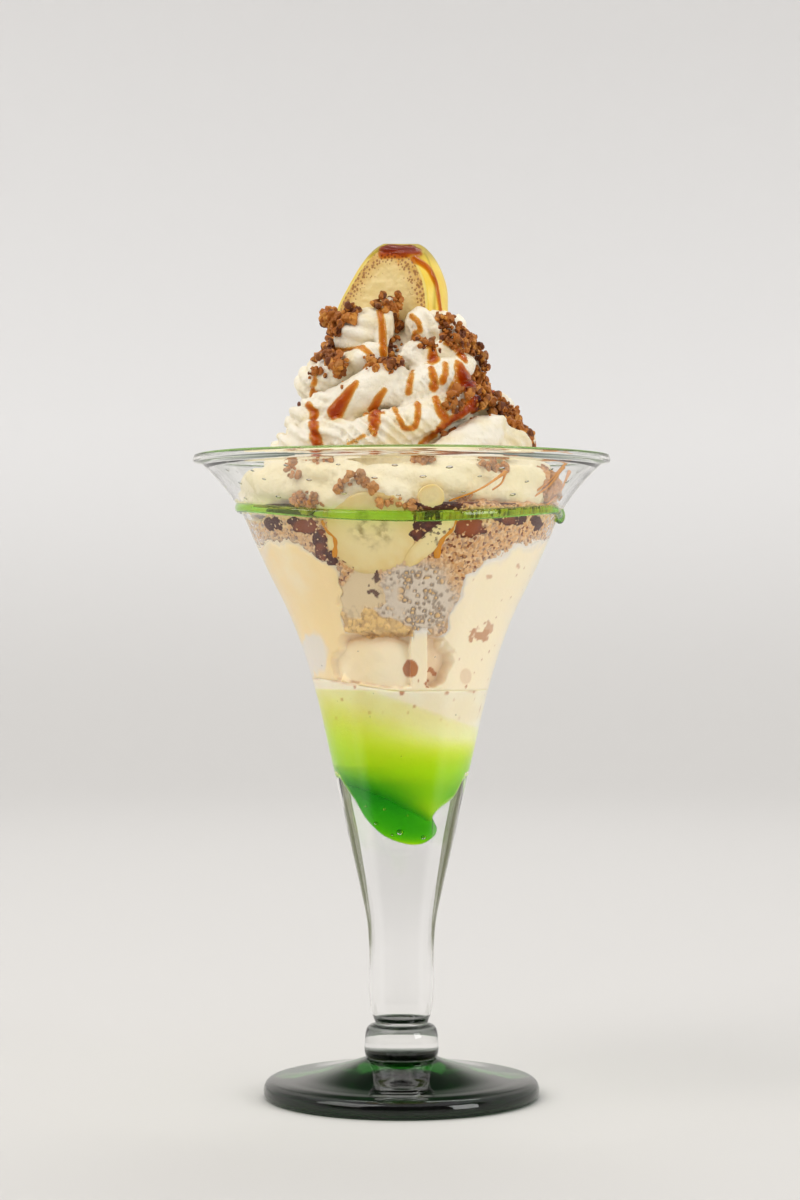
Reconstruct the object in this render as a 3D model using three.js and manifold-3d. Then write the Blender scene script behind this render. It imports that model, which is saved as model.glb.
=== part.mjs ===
// A banoffee sundae in a hand-blown stemmed glass: vanilla ice cream, biscuit crumb, toffee and
// banana under a piped swirl of whipped cream, with the end of an unpeeled banana on top.
// Units are millimetres, +Z is up, the glass turns about the Z axis and its shown side faces -Y.
import * as THREE from 'three';
import { mergeVertices } from 'three/addons/utils/BufferGeometryUtils.js';
import Module from 'manifold-3d';

const wasm = await Module();
wasm.setup();

// ---------------------------------------------------------------- driving dimensions
const GAP = 0.3; // clearance between pieces that touch or nest
const TURN = Math.PI * 2;
const AROUND = 32; // flat sides round the glass and everything that fills it

// Foot and knob
const FOOT_RADIUS = 44.2;
const FOOT_EDGE = 5.8; // thickness at the rounded edge
const FOOT_TOP = 12.6; // height where the foot meets the knob
const KNOB_RADIUS = 11.9;
const KNOB_TOP = 23.4;

// Bowl and hollow stem, one trumpet
const NECK_RADIUS = 8.4; // above the knob
const STEM_FLOOR = 27; // bottom of the hollow in the stem
const RIM_Z = 202.8; // top of the clear wall, under the lip thread
const BOWL_WALL = 2.0;

// Coloured glass
const LIP_THREAD = { radius: 65.9, z: 203.9, thick: 1.15 };
const TRAIL = { z: 186.4, wide: 0.8, high: 1.35, knot: 2.3, knotTurn: 0.982 };
const DROP_LOW = { x: 5.9, z: 82.5 }; // lowest point of the drooping green base
const CUP_TOP = 126; // where the green wall thins out
const CUP_FLOOR = { x: 3.0, z: 88.6 };

// Heights of the filling at the glass
const MELT_Z = 131;
const ICE_CREAM_Z = 178;
const CRUMB_Z = 184;
const TOFFEE_Z = 187.6;
const CRUMB_POCKET = { deep: 32, halfAngle: 0.44, turn: 0.757 }; // where crumb slid down the front

// Whipped cream
const CREAM_FOOT_RADIUS = 46;
const CREAM_TOP = 253;
const CREAM_TIERS = { count: 3.2, deep: 2.4 }; // turns of the piped rope
const CREAM_FLUTES = { count: 8, deep: 3.2, climb: 84 }; // star-nozzle ridges; climb is mm for a whole turn

// Banana
const SLICE_RADIUS = 14;
const SLICE_THICK = 6.6;
const TIP = { x: -1.6, y: -1, bottom: 238, top: 273.2, radius: 17.8, tilt: 0.06 };
const PEEL_THICK = 2.3;

// ---------------------------------------------------------------- finishes
/** A plain finish: colour, roughness and metalness. */
const finish = (color, roughness, metalness = 0) =>
  new THREE.MeshStandardMaterial({ color, roughness, metalness });

const CLEAR_GLASS = finish(0xdfe6e0, 0.03);
const GREEN_GLASS = finish(0x2f9a10, 0.04);
const DARK_GREEN_GLASS = finish(0x12331f, 0.05);
const ICE_CREAM = finish(0xf0deb4, 0.5);
const WHIPPED_CREAM = finish(0xf8f4e6, 0.6);
const CRUMB = finish(0xa5682f, 0.85);
const TOFFEE = finish(0x7a3009, 0.25);
const BANANA_FLESH = finish(0xe0d09a, 0.5);
const BANANA_PEEL = finish(0xe8c548, 0.45);

// ---------------------------------------------------------------- closed skins
/**
 * A closed solid wrapped over rows of points from its lowest pole to its highest.
 * pointAt(row, turn) gives a point for turn in 0..1; the first and last rows are single points.
 * Rows from flipRow up split their faces along the other diagonal, so that a top face
 * is split as the bottom face that lies on it is.
 */
function wrapSolid(rows, sides, pointAt, flipRow = Infinity) {
  const positions = [...pointAt(0, 0)];
  for (let row = 1; row < rows; row++) {
    for (let side = 0; side < sides; side++) {
      positions.push(...pointAt(row, side / sides));
    }
  }
  positions.push(...pointAt(rows, 0));
  const last = positions.length / 3 - 1;
  const at = (row, side) => 1 + (row - 1) * sides + (side % sides);
  const faces = [];
  for (let side = 0; side < sides; side++) {
    faces.push(0, at(1, side + 1), at(1, side));
    faces.push(last, at(rows - 1, side), at(rows - 1, side + 1));
    for (let row = 1; row < rows - 1; row++) {
      const corners = [at(row, side), at(row, side + 1), at(row + 1, side + 1), at(row + 1, side)];
      const [a, b, c, d] = corners;
      if (row >= flipRow) {
        faces.push(a, b, d, b, c, d);
      } else {
        faces.push(a, b, c, a, c, d);
      }
    }
  }
  const geometry = new THREE.BufferGeometry();
  geometry.setAttribute('position', new THREE.Float32BufferAttribute(positions, 3));
  geometry.setIndex(faces);
  geometry.computeVertexNormals();
  return geometry;
}

/** A turned solid about +Z from a profile of [radius, height] points. */
function turned(profile, sides = AROUND) {
  const points = profile.map(([radius, height]) => new THREE.Vector2(radius, height));
  return new THREE.LatheGeometry(points, sides).rotateX(Math.PI / 2);
}

/** Radius at a height on a polyline of [radius, height] points that only climbs. */
function radiusOn(line, height) {
  const above = line.findIndex(([, z]) => z >= height);
  if (above === -1) {
    return line[line.length - 1][0];
  }
  if (above === 0) {
    return line[0][0];
  }
  const [r0, z0] = line[above - 1];
  const [r1, z1] = line[above];
  return r0 + ((r1 - r0) * (height - z0)) / (z1 - z0);
}

/** A smooth line through a few [radius, height] points, with `count` pieces. */
function smoothLine(points, count) {
  const curve = new THREE.SplineCurve(points.map(([r, z]) => new THREE.Vector2(r, z)));
  return curve.getSpacedPoints(count).map((point) => [point.x, point.y]);
}

// ---------------------------------------------------------------- booleans
/** A three.js geometry as a manifold solid. */
function toSolid(geometry) {
  const bare = geometry.clone();
  bare.deleteAttribute('normal');
  bare.deleteAttribute('uv');
  const merged = mergeVertices(bare, 1e-4);
  return new wasm.Manifold(
    new wasm.Mesh({
      numProp: 3,
      vertProperties: new Float32Array(merged.attributes.position.array),
      triVerts: new Uint32Array(merged.index.array),
    }),
  );
}

/** A manifold solid as a three.js geometry. */
function toGeometry(solid) {
  const mesh = solid.getMesh();
  const geometry = new THREE.BufferGeometry();
  geometry.setAttribute('position', new THREE.BufferAttribute(mesh.vertProperties, 3));
  geometry.setIndex(new THREE.BufferAttribute(mesh.triVerts, 1));
  geometry.computeVertexNormals();
  return geometry;
}

/** A geometry with others cut out of it. */
function cutBy(geometry, cutters) {
  const solid = cutters.reduce((left, cutter) => left.subtract(toSolid(cutter)), toSolid(geometry));
  return toGeometry(solid);
}

// ---------------------------------------------------------------- the glass
const trumpetOutside = smoothLine(
  [[NECK_RADIUS, KNOB_TOP + GAP], [10.4, 32], [10.8, 52], [14.4, 71], [21.4, 104], [28.4, 133],
    [40, 163], [51.2, 186], [57.5, 195.7], [64.75, RIM_Z]],
  11,
);

/** Thickness of the clear wall at a height: thick where the stem opens, thin at the neck. */
function wallAt(height) {
  const stations = [[1.2, STEM_FLOOR], [1.9, 47], [3.3, 63], [3.5, 95], [2.9, 106], [BOWL_WALL, 122],
    [BOWL_WALL, RIM_Z]];
  return radiusOn(stations, height);
}

const trumpetInside = [
  ...trumpetOutside
    .filter(([, height]) => height > STEM_FLOOR + 6)
    .slice(0, -1)
    .map(([radius, height]) => [radius - wallAt(height), height]),
  [63.3, RIM_Z + 1.2],
];

const glassTrumpet = turned([
  [0, KNOB_TOP + GAP],
  ...trumpetOutside,
  ...trumpetInside.slice().reverse(),
  [trumpetInside[0][0] - 0.9, STEM_FLOOR + 2.4],
  [0, STEM_FLOOR],
]);

/** How far out a piece inside the trumpet may reach at a height. */
const insideAt = (height) => radiusOn(trumpetInside, height) - GAP;

const foot = turned([
  [0, 0],
  [FOOT_RADIUS - 2.6, 0],
  [FOOT_RADIUS - 0.7, 0.9],
  [FOOT_RADIUS, FOOT_EDGE / 2],
  [FOOT_RADIUS - 0.9, FOOT_EDGE * 0.86],
  [FOOT_RADIUS - 3.4, FOOT_EDGE],
  [FOOT_RADIUS * 0.6, 8.2],
  [KNOB_RADIUS + 4, FOOT_TOP - 1.6],
  [KNOB_RADIUS, FOOT_TOP],
  [0, FOOT_TOP],
]);

const knob = turned([
  [0, FOOT_TOP + GAP],
  [KNOB_RADIUS - 0.4, FOOT_TOP + GAP],
  [KNOB_RADIUS, FOOT_TOP + 3],
  [KNOB_RADIUS - 0.3, KNOB_TOP - 2.6],
  [KNOB_RADIUS - 1.4, KNOB_TOP - 0.7],
  [NECK_RADIUS, KNOB_TOP],
  [0, KNOB_TOP],
], 20);

/** The green base of the bowl: a cup whose underside droops into the hollow stem. */
function greenBase() {
  const drop = DROP_LOW;
  const outside = [[5.2, 5.0, drop.z + 1.1], [3.9, 7.2, drop.z + 3], [2.0, 9.2, drop.z + 5.8],
    [0.4, 10.2, drop.z + 9], [-0.3, 12.4, drop.z + 12.2], [0, 15.2, drop.z + 16.4]];
  const seat = [104.5, 115, CUP_TOP].map((height) => [0, insideAt(height), height]);
  const inside = [[0.9, CUP_TOP], [1.9, 113], [3.4, 103]].map(
    ([thick, height]) => [0, insideAt(height) - thick, height],
  );
  const floor = CUP_FLOOR;
  const well = [[0.8, 10.6, floor.z + 9], [2.4, 5.2, floor.z + 2.2]];
  const rows = [[drop.x, 0, drop.z], ...outside, ...seat, ...inside, ...well, [floor.x, 0, floor.z]];
  return wrapSolid(rows.length - 1, AROUND, (row, turn) => {
    const [drift, radius, height] = rows[row];
    return [drift + radius * Math.cos(turn * TURN), radius * Math.sin(turn * TURN), height];
  });
}

/** Radius and drift of the cup's inside at a height, shrunk by the clearance. */
function cupInsideAt(height) {
  const rows = [[0, 0, CUP_FLOOR.z], [10.6, 0.8, CUP_FLOOR.z + 9], [insideAt(103) - 3.4, 0, 103],
    [insideAt(113) - 1.9, 0, 113], [insideAt(CUP_TOP) - 0.9, 0, CUP_TOP]];
  const radius = radiusOn(rows.map(([r, , z]) => [r, z]), height) - GAP;
  const drift = radiusOn(rows.map(([, x, z]) => [x, z]), height);
  return { radius, drift };
}

/** Height of the applied green trail round the bowl, which dips at the front and at its knot. */
function trailHeight(turn) {
  const angle = turn * TURN;
  const dip = 1.9 * Math.cos(2 * angle) - 0.2 * Math.cos(angle);
  const lap = 2.4 * Math.exp(-(((turn - TRAIL.knotTurn) / 0.03) ** 2));
  return TRAIL.z + dip - lap;
}

/** The applied trail: a flattened thread laid on the outside of the bowl, thicker at its knot. */
function greenTrail() {
  const sectionSides = 5;
  const ring = new THREE.TorusGeometry(10, 1, sectionSides, AROUND);
  const bare = ring.clone();
  bare.deleteAttribute('normal');
  bare.deleteAttribute('uv');
  const geometry = mergeVertices(bare, 1e-4);
  const point = new THREE.Vector3();
  for (let i = 0; i < geometry.attributes.position.count; i++) {
    point.fromBufferAttribute(geometry.attributes.position, i);
    const angle = Math.atan2(point.y, point.x);
    const turn = (angle / TURN + 1) % 1;
    const knot = Math.exp(-(((turn - TRAIL.knotTurn) / 0.018) ** 2));
    const wide = THREE.MathUtils.lerp(TRAIL.wide, TRAIL.knot * 0.62, knot);
    const high = THREE.MathUtils.lerp(TRAIL.high, TRAIL.knot, knot);
    const height = trailHeight(turn) + point.z * high;
    const seat = radiusOn(trumpetOutside, height) + GAP * 1.6 + wide;
    const radius = seat + (Math.hypot(point.x, point.y) - 10) * wide;
    geometry.attributes.position.setXYZ(i, radius * Math.cos(angle), radius * Math.sin(angle), height);
  }
  geometry.computeVertexNormals();
  return geometry;
}

const lipThread = new THREE.TorusGeometry(LIP_THREAD.radius, LIP_THREAD.thick, 5, AROUND)
  .translate(0, 0, LIP_THREAD.z);

// ---------------------------------------------------------------- the filling
/** Shortest way round between two turns, as an angle. */
const angleFrom = (turn, other) => ((((turn - other + 0.5) % 1) + 1) % 1 - 0.5) * TURN;

/** Heights of the surfaces between the layers, over the angle and the share of the way out. */
const surfaces = {
  melt: (turn, out) => MELT_Z - 3.4 * out * Math.cos(turn * TURN),
  iceCream: (turn, out) => {
    const pocket = Math.exp(-((angleFrom(turn, CRUMB_POCKET.turn) / CRUMB_POCKET.halfAngle) ** 2));
    const lean = 1.6 * Math.cos((turn - 0.05) * TURN) + 1.4 * Math.sin(turn * 3 * TURN);
    return ICE_CREAM_Z + 1.5 - out * 1.5 + out * lean * 0.8 - CRUMB_POCKET.deep * pocket * out ** 3;
  },
  crumb: (turn, out) => CRUMB_Z + 2 - 2 * out + out * 0.9 * Math.sin(turn * 4 * TURN + 1),
  toffee: (turn, out) => TOFFEE_Z + 2 - 2 * out + out * 0.6 * Math.cos(turn * 3 * TURN),
};

/** Radius at which a surface meets the glass, found by halving. */
function reachOf(surface, turn) {
  let near = 5;
  let far = RIM_Z;
  for (let step = 0; step < 30; step++) {
    const middle = (near + far) / 2;
    if (insideAt(surface(turn, 1)) > middle) {
      near = middle;
    } else {
      far = middle;
    }
  }
  return near;
}

const RINGS = [0.45, 0.85, 1]; // rings of a layer's top and bottom, as shares of the way out

/** Points of a surface from its middle to the glass, lifted by a clearance. */
const surfaceRows = (surface, lift) =>
  RINGS.map((out) => (turn) => {
    const radius = reachOf(surface, turn) * out;
    return [radius * Math.cos(turn * TURN), radius * Math.sin(turn * TURN), surface(turn, out) + lift];
  });

/** Points up the glass between two surfaces. */
function sideRows(under, over, count) {
  return Array.from({ length: count }, (_, index) => (turn) => {
    const share = (index + 1) / (count + 1);
    const low = surfaces[under](turn, 1) + GAP / 2;
    const high = surfaces[over](turn, 1) - GAP / 2;
    const height = low + (high - low) * share;
    const radius = insideAt(height);
    return [radius * Math.cos(turn * TURN), radius * Math.sin(turn * TURN), height];
  });
}

/** A layer of the filling between two surfaces, with sideCount rows up the glass. */
function layer(under, over, sideCount) {
  const bottom = surfaceRows(surfaces[under], GAP / 2);
  const top = surfaceRows(surfaces[over], -GAP / 2).reverse();
  const rings = [...bottom, ...sideRows(under, over, sideCount), ...top];
  const poles = [[0, 0, surfaces[under](0, 0) + GAP / 2], [0, 0, surfaces[over](0, 0) - GAP / 2]];
  return wrapSolid(rings.length + 1, AROUND, (row, turn) => {
    if (row === 0) {
      return poles[0];
    }
    return row > rings.length ? poles[1] : rings[row - 1](turn);
  }, bottom.length + sideCount + 1);
}

/** Melted ice cream at the bottom, inside the green cup and just above it. */
function meltedIceCream() {
  const floor = CUP_FLOOR.z + GAP * 2;
  const cup = [floor + 3.5, floor + 8.6, 103, 113, CUP_TOP].map((height) => (turn) => {
    const { radius, drift } = cupInsideAt(height);
    return [drift + radius * Math.cos(turn * TURN), radius * Math.sin(turn * TURN), height];
  });
  const lip = (turn) => {
    const radius = insideAt(CUP_TOP + GAP);
    return [radius * Math.cos(turn * TURN), radius * Math.sin(turn * TURN), CUP_TOP + GAP];
  };
  const rings = [...cup, lip, ...surfaceRows(surfaces.melt, -GAP / 2).reverse()];
  return wrapSolid(rings.length + 1, AROUND, (row, turn) => {
    if (row === 0) {
      return [0.8, 0, floor + 1];
    }
    return row > rings.length ? [0, 0, MELT_Z - GAP / 2] : rings[row - 1](turn);
  }, cup.length + 2);
}

/** Whipped cream: a mound of piped tiers that wind up to the banana. */
function whippedCream() {
  const outline = smoothLine(
    [[46, 190], [CREAM_FOOT_RADIUS, 200], [41, 214], [34, 228], [28.6, 240], [20, CREAM_TOP - 3],
      [7, CREAM_TOP]],
    12,
  );
  const bottom = surfaceRows(surfaces.toffee, GAP / 2);
  const ridge = (phase) => 1 - Math.abs(Math.cos(Math.PI * phase)) ** 0.7;
  const piped = ([radius, height]) => (turn) => {
    const climbed = height - outline[0][1];
    const tier = ridge((climbed / (CREAM_TOP - outline[0][1])) * CREAM_TIERS.count - turn);
    const flute = ridge((turn - climbed / CREAM_FLUTES.climb) * CREAM_FLUTES.count);
    const free = THREE.MathUtils.smoothstep(climbed, 0, 8) * Math.min(1, radius / 24);
    const out = radius - (CREAM_TIERS.deep * tier + CREAM_FLUTES.deep * flute) * free;
    return [out * Math.cos(turn * TURN), out * Math.sin(turn * TURN), height];
  };
  const rings = [...bottom, ...outline.map(piped)];
  return wrapSolid(rings.length + 1, AROUND, (row, turn) => {
    if (row === 0) {
      return [0, 0, surfaces.toffee(0, 0) + GAP / 2];
    }
    return row > rings.length ? [0, 0, CREAM_TOP + 0.6] : rings[row - 1](turn);
  });
}

/** A lumpy piece of biscuit kept inside the glass, grown by a clearance when it cuts its seat. */
function lump([x, y, z], size, seed, grow = 0) {
  const ball = new THREE.IcosahedronGeometry(1, 1).deleteAttribute('normal').deleteAttribute('uv');
  const shape = mergeVertices(ball, 1e-4);
  const point = new THREE.Vector3();
  for (let i = 0; i < shape.attributes.position.count; i++) {
    point.fromBufferAttribute(shape.attributes.position, i);
    const knobbly = 1 + 0.12 * Math.sin(point.x * 5 + seed) * Math.cos(point.y * 6 - seed * 2);
    point.multiplyScalar(knobbly).multiply(new THREE.Vector3(...size).addScalar(grow));
    point.add(new THREE.Vector3(x, y, z));
    const shrink = Math.min(1, (insideAt(point.z) - GAP) / Math.hypot(point.x, point.y));
    shape.attributes.position.setXYZ(i, point.x * shrink, point.y * shrink, point.z);
  }
  shape.computeVertexNormals();
  return shape;
}

// ---------------------------------------------------------------- the banana
/** Where each slice lies: the middle of the disc, the way its face looks, and its radius. */
const sliceSpots = {
  banana_slice_front: { middle: [-8.4, -39.0, 180.2], face: [-0.2, -0.86, -0.46], radius: SLICE_RADIUS },
  banana_slice_front_right: { middle: [14.6, -29.6, 178.4], face: [-0.58, 0.06, 0.8], radius: 12 },
  banana_slice_upper: { middle: [12.6, -40.2, 192.4], face: [0.2, -0.9, 0.3], radius: 6.6 },
  banana_slice_back_left: { middle: [-22, 32.2, 180.4], face: [-0.5, 0.74, -0.46], radius: 13.4 },
  banana_slice_back_right: { middle: [27.4, 27.4, 181.2], face: [0.62, 0.62, -0.46], radius: 13.0 },
};

/** A banana slice: a disc with softened edges, or the plain, larger disc that cuts its seat. */
function slice({ middle, face, radius }, grow = 0) {
  const half = SLICE_THICK / 2 + grow;
  const reach = radius + grow;
  const soft = grow > 0 ? 0 : 0.9;
  const edge = soft > 0 ? [[reach - soft, -half], [reach, soft - half], [reach, half - soft],
    [reach - soft, half]] : [[reach, -half], [reach, half]];
  const disc = turned([[0, -half], ...edge, [0, half]], 12);
  const lean = new THREE.Quaternion().setFromUnitVectors(
    new THREE.Vector3(0, 0, 1),
    new THREE.Vector3(...face).normalize(),
  );
  return disc.applyQuaternion(lean).translate(...middle);
}

/** The end of a banana, five-sided and tapering to its blunt tip, shrunk by an inset. */
function bananaEnd(inset) {
  const outline = smoothLine(
    [[TIP.radius, 0], [TIP.radius - 0.6, 0.36], [13.4, 0.7], [10, 0.86], [7.4, 0.96]],
    5,
  ).map(([radius, share]) => [radius, TIP.bottom + (TIP.top - TIP.bottom) * share]);
  const rows = [[0, TIP.bottom], ...outline, [0, TIP.top]];
  return wrapSolid(rows.length - 1, 15, (row, turn) => {
    const [radius, height] = rows[row];
    const corner = 1 + 0.045 * Math.cos(turn * 5 * TURN + 0.5);
    const out = Math.max(radius - inset, 0) * corner;
    const sunk = Math.min(height, TIP.top - inset);
    const lean = (height - TIP.bottom) * TIP.tilt;
    return [TIP.x + lean + out * Math.cos(turn * TURN), TIP.y + out * Math.sin(turn * TURN), sunk];
  });
}

/** A block that takes away everything in front of a slanting cut. */
function cutBlock([x, y, z], face) {
  const size = 60;
  const block = new THREE.BoxGeometry(size, size, size).translate(0, 0, size / 2);
  const lean = new THREE.Quaternion().setFromUnitVectors(
    new THREE.Vector3(0, 0, 1),
    new THREE.Vector3(...face).normalize(),
  );
  return block.applyQuaternion(lean).translate(x, y, z);
}

const slantCut = cutBlock([TIP.x, TIP.y - 7.5, 256], [-0.42, -0.87, 0.24]);
const bluntCut = cutBlock([TIP.x, TIP.y - 3, TIP.top - 0.4], [0.05, -0.36, 0.93]);
const tipSkin = cutBy(bananaEnd(0), [slantCut, bluntCut]);
const tipFlesh = cutBy(bananaEnd(PEEL_THICK + GAP), [slantCut, bluntCut]);
const tipPeel = cutBy(tipSkin, [bananaEnd(PEEL_THICK)]);

// ---------------------------------------------------------------- toppings and their seats
const lumps = {
  biscuit_lump_left: { at: [-22.6, -9.5, 248.4], size: [4.0, 3.6, 3.4], seed: 1 },
  biscuit_lump_right: { at: [37.6, -15.0, 212.2], size: [3.6, 3.4, 3.2], seed: 4 },
  biscuit_heap_right: { at: [42, -15, 195.2], size: [9.0, 11.0, 6.2], seed: 7 },
};

const sliceSeats = Object.values(sliceSpots).map((spot) => slice(spot, GAP));
const lumpSeats = Object.values(lumps).map(({ at, size, seed }) => lump(at, size, seed, GAP));
const tipSeat = bananaEnd(-GAP);

// ---------------------------------------------------------------- the scene graph
const sundae = new THREE.Group();
sundae.name = 'banoffee_sundae';

/** Adds one named mesh to the group. */
function add(name, geometry, material) {
  const mesh = new THREE.Mesh(geometry, material);
  mesh.name = name;
  sundae.add(mesh);
}

add('foot', foot, DARK_GREEN_GLASS);
add('stem_knob', knob, CLEAR_GLASS);
add('bowl_and_stem', glassTrumpet, CLEAR_GLASS);
add('green_base', greenBase(), GREEN_GLASS);
add('green_trail', greenTrail(), GREEN_GLASS);
add('lip_thread', lipThread, GREEN_GLASS);
add('melted_ice_cream', meltedIceCream(), ICE_CREAM);
add('ice_cream', cutBy(layer('melt', 'iceCream', 3), sliceSeats), ICE_CREAM);
add('biscuit_crumb', cutBy(layer('iceCream', 'crumb', 2), sliceSeats), CRUMB);
add('toffee', cutBy(layer('crumb', 'toffee', 0), sliceSeats), TOFFEE);
add('whipped_cream', cutBy(whippedCream(), [...sliceSeats, ...lumpSeats, tipSeat]), WHIPPED_CREAM);
for (const [name, spot] of Object.entries(sliceSpots)) {
  add(name, slice(spot), BANANA_FLESH);
}
add('banana_tip_peel', tipPeel, BANANA_PEEL);
add('banana_tip_flesh', tipFlesh, BANANA_FLESH);
for (const [name, { at, size, seed }] of Object.entries(lumps)) {
  add(name, lump(at, size, seed), CRUMB);
}

export default sundae;
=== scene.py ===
"""A banoffee sundae in a hand-blown stemmed glass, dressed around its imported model.

Sizes in the script are millimetres; build_piece turns them into metres in the model's own frame.
The glass turns about +Z and its shown side faces -Y.
"""

from __future__ import annotations

import logging
import math
from dataclasses import dataclass, field
from enum import Enum
from functools import reduce

import bpy
import bmesh
import numpy as np
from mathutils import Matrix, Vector
from mathutils.bvhtree import BVHTree

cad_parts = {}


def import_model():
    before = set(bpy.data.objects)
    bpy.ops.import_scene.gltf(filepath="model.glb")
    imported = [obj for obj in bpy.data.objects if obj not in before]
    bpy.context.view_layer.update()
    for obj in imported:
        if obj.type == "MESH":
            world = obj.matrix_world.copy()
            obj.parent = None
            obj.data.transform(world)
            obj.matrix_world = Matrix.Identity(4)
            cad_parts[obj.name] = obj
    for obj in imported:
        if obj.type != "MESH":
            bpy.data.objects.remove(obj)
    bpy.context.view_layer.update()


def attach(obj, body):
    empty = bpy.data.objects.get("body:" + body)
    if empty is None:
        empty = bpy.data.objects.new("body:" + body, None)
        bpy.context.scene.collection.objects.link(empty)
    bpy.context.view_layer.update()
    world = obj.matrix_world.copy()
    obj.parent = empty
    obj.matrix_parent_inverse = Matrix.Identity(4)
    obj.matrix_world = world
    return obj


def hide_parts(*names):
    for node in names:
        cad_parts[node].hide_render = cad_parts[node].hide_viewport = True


LOG = logging.getLogger("banoffee_sundae")
MM = 0.001  # metres in a millimetre
TURN = 2.0 * math.pi
BODY = "root"

Array = np.ndarray
Pair = tuple[float, float]
Triple = tuple[float, float, float]
Piece = bpy.types.Object
Material = bpy.types.Material
Tree = bpy.types.NodeTree
Socket = bpy.types.NodeSocket


class Slot(Enum):
    """The material slots."""

    CLEAR_GLASS = "clear_glass"
    GREEN_GLASS = "green_glass"
    DARK_GREEN_GLASS = "dark_green_glass"
    ICE_CREAM = "ice_cream"
    BISCUIT_CRUMB = "biscuit_crumb"
    TOFFEE = "toffee"
    WHIPPED_CREAM = "whipped_cream"
    BANANA_FLESH = "banana_flesh"
    BANANA_PEEL = "banana_peel"


# ---- small tools


def linear(code: str) -> tuple[float, float, float, float]:
    """Turns an sRGB hex colour, "#rrggbb", into the opaque linear colour that shaders use."""
    parts = [int(code[i : i + 2], 16) / 255.0 for i in (1, 3, 5)]
    flat = [c / 12.92 if c <= 0.04045 else ((c + 0.055) / 1.055) ** 2.4 for c in parts]
    return flat[0], flat[1], flat[2], 1.0


def add_node(tree: Tree, kind: str, settings: dict[str | int, object] | None = None) -> bpy.types.Node:
    """Adds a node to a tree with its settings and links.

    Args:
        tree: Tree that gets the node.
        kind: Node's type name.
        settings: Values by input, or by property where there is no such input. A socket is linked to
            its input, and a hex colour is turned to linear.

    Returns:
        The new node.
    """
    node = tree.nodes.new(kind)
    for key, value in (settings or {}).items():
        if isinstance(value, str) and value.startswith("#"):
            value = linear(value)
        if isinstance(value, Socket):
            tree.links.new(value, node.inputs[key])
        elif isinstance(key, int) or key in node.inputs:
            node.inputs[key].default_value = value
        else:
            setattr(node, key, value)
    return node


def placed(name: str, data: bpy.types.ID) -> Piece:
    """A new object in the scene that holds some data."""
    thing = bpy.data.objects.new(name, data)
    bpy.context.scene.collection.objects.link(thing)
    return thing


def xyz(x: Array | float, y: Array | float, z: Array | float) -> Array:
    """Points from their coordinates, arrays or numbers that fit together."""
    return np.stack(np.broadcast_arrays(x, y, z), axis=-1)


def around(radius: Array | float, angle: Array | float, z: Array | float) -> Array:
    """Points at a radius, at an angle from the front that climbs to the right, and at a height."""
    return xyz(radius * np.sin(angle), -radius * np.cos(angle), z)


def ease(low: float, high: float, value: Array) -> Array:
    """Eases from 0 at low to 1 at high."""
    share = np.clip((value - low) / (high - low), 0.0, 1.0)
    return share * share * (3.0 - 2.0 * share)


def through(knots: tuple[Pair, ...], at: Array) -> Array:
    """A smooth curve through knots, level beyond the first and last.

    Args:
        knots: Places, climbing, and the value at each.
        at: Places to read.

    Returns:
        The value at each place.
    """
    x, y = np.array(knots, float).T
    slope = np.gradient(y, x)
    at = np.clip(np.asarray(at, float), x[0], x[-1])
    i = np.clip(np.searchsorted(x, at, side="right") - 1, 0, len(x) - 2)
    wide = x[i + 1] - x[i]
    t = (at - x[i]) / wide
    return (
        (2 * t**3 - 3 * t**2 + 1) * y[i]
        + (t**3 - 2 * t**2 + t) * wide * slope[i]
        + (3 * t**2 - 2 * t**3) * y[i + 1]
        + (t**3 - t**2) * wide * slope[i + 1]
    )


def chance(cells: Array, seed: int) -> Array:
    """A repeatable random number in -1..1 for each whole-number cell."""
    n = cells.astype(np.int64)
    h = n[..., 0] * 73856093 ^ n[..., 1] * 19349663 ^ n[..., 2] * 83492791 ^ (seed * 7919 + 13)
    h = (h ^ (h >> 13)) * 1274126177 & 0x7FFFFFFF
    h = (h ^ (h >> 15)) * 668265263 & 0x7FFFFFFF
    return ((h ^ (h >> 16)) % 65536) / 32768.0 - 1.0


def cloud(points: Array, size: float, seed: int = 0, octaves: int = 1) -> Array:
    """Smooth noise in about -1..1 over points.

    Args:
        points: (n, 3) array, in mm.
        size: Distance between the noise's humps, in mm.
        seed: Changes the pattern.
        octaves: Layers, each half the size and strength of the last.

    Returns:
        One value for each point.
    """
    total = np.zeros(len(points))
    for octave in range(octaves):
        scaled = points / (size / 2**octave) + 37.1 * octave
        base = np.floor(scaled)
        t = scaled - base
        t = t * t * (3.0 - 2.0 * t)
        value = np.zeros(len(points))
        for corner in range(8):
            step = np.array([(corner >> k) & 1 for k in range(3)])
            weight = np.prod(np.where(step == 1, t, 1.0 - t), axis=1)
            value += weight * chance(base + step, seed + octave)
        total += value / 2**octave
    return total


def grains(points: Array, size: float, seed: int = 0) -> Array:
    """Distance from each point to the nearest of scattered seeds, 0 at a seed and about 1 between.

    Args:
        points: (n, 3) array, in mm.
        size: Usual distance between seeds, in mm.
        seed: Changes the pattern.

    Returns:
        One value for each point.
    """
    scaled = points / size
    base = np.floor(scaled)
    nearest = np.full(len(points), 9.0)
    for cell in range(27):
        step = np.array([cell % 3 - 1, cell // 3 % 3 - 1, cell // 9 - 1])
        corner = base + step
        spot = corner + 0.5 + 0.45 * np.stack([chance(corner, seed + k) for k in range(3)], axis=1)
        nearest = np.minimum(nearest, np.linalg.norm(scaled - spot, axis=1))
    return nearest


# ---- meshes


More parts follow.
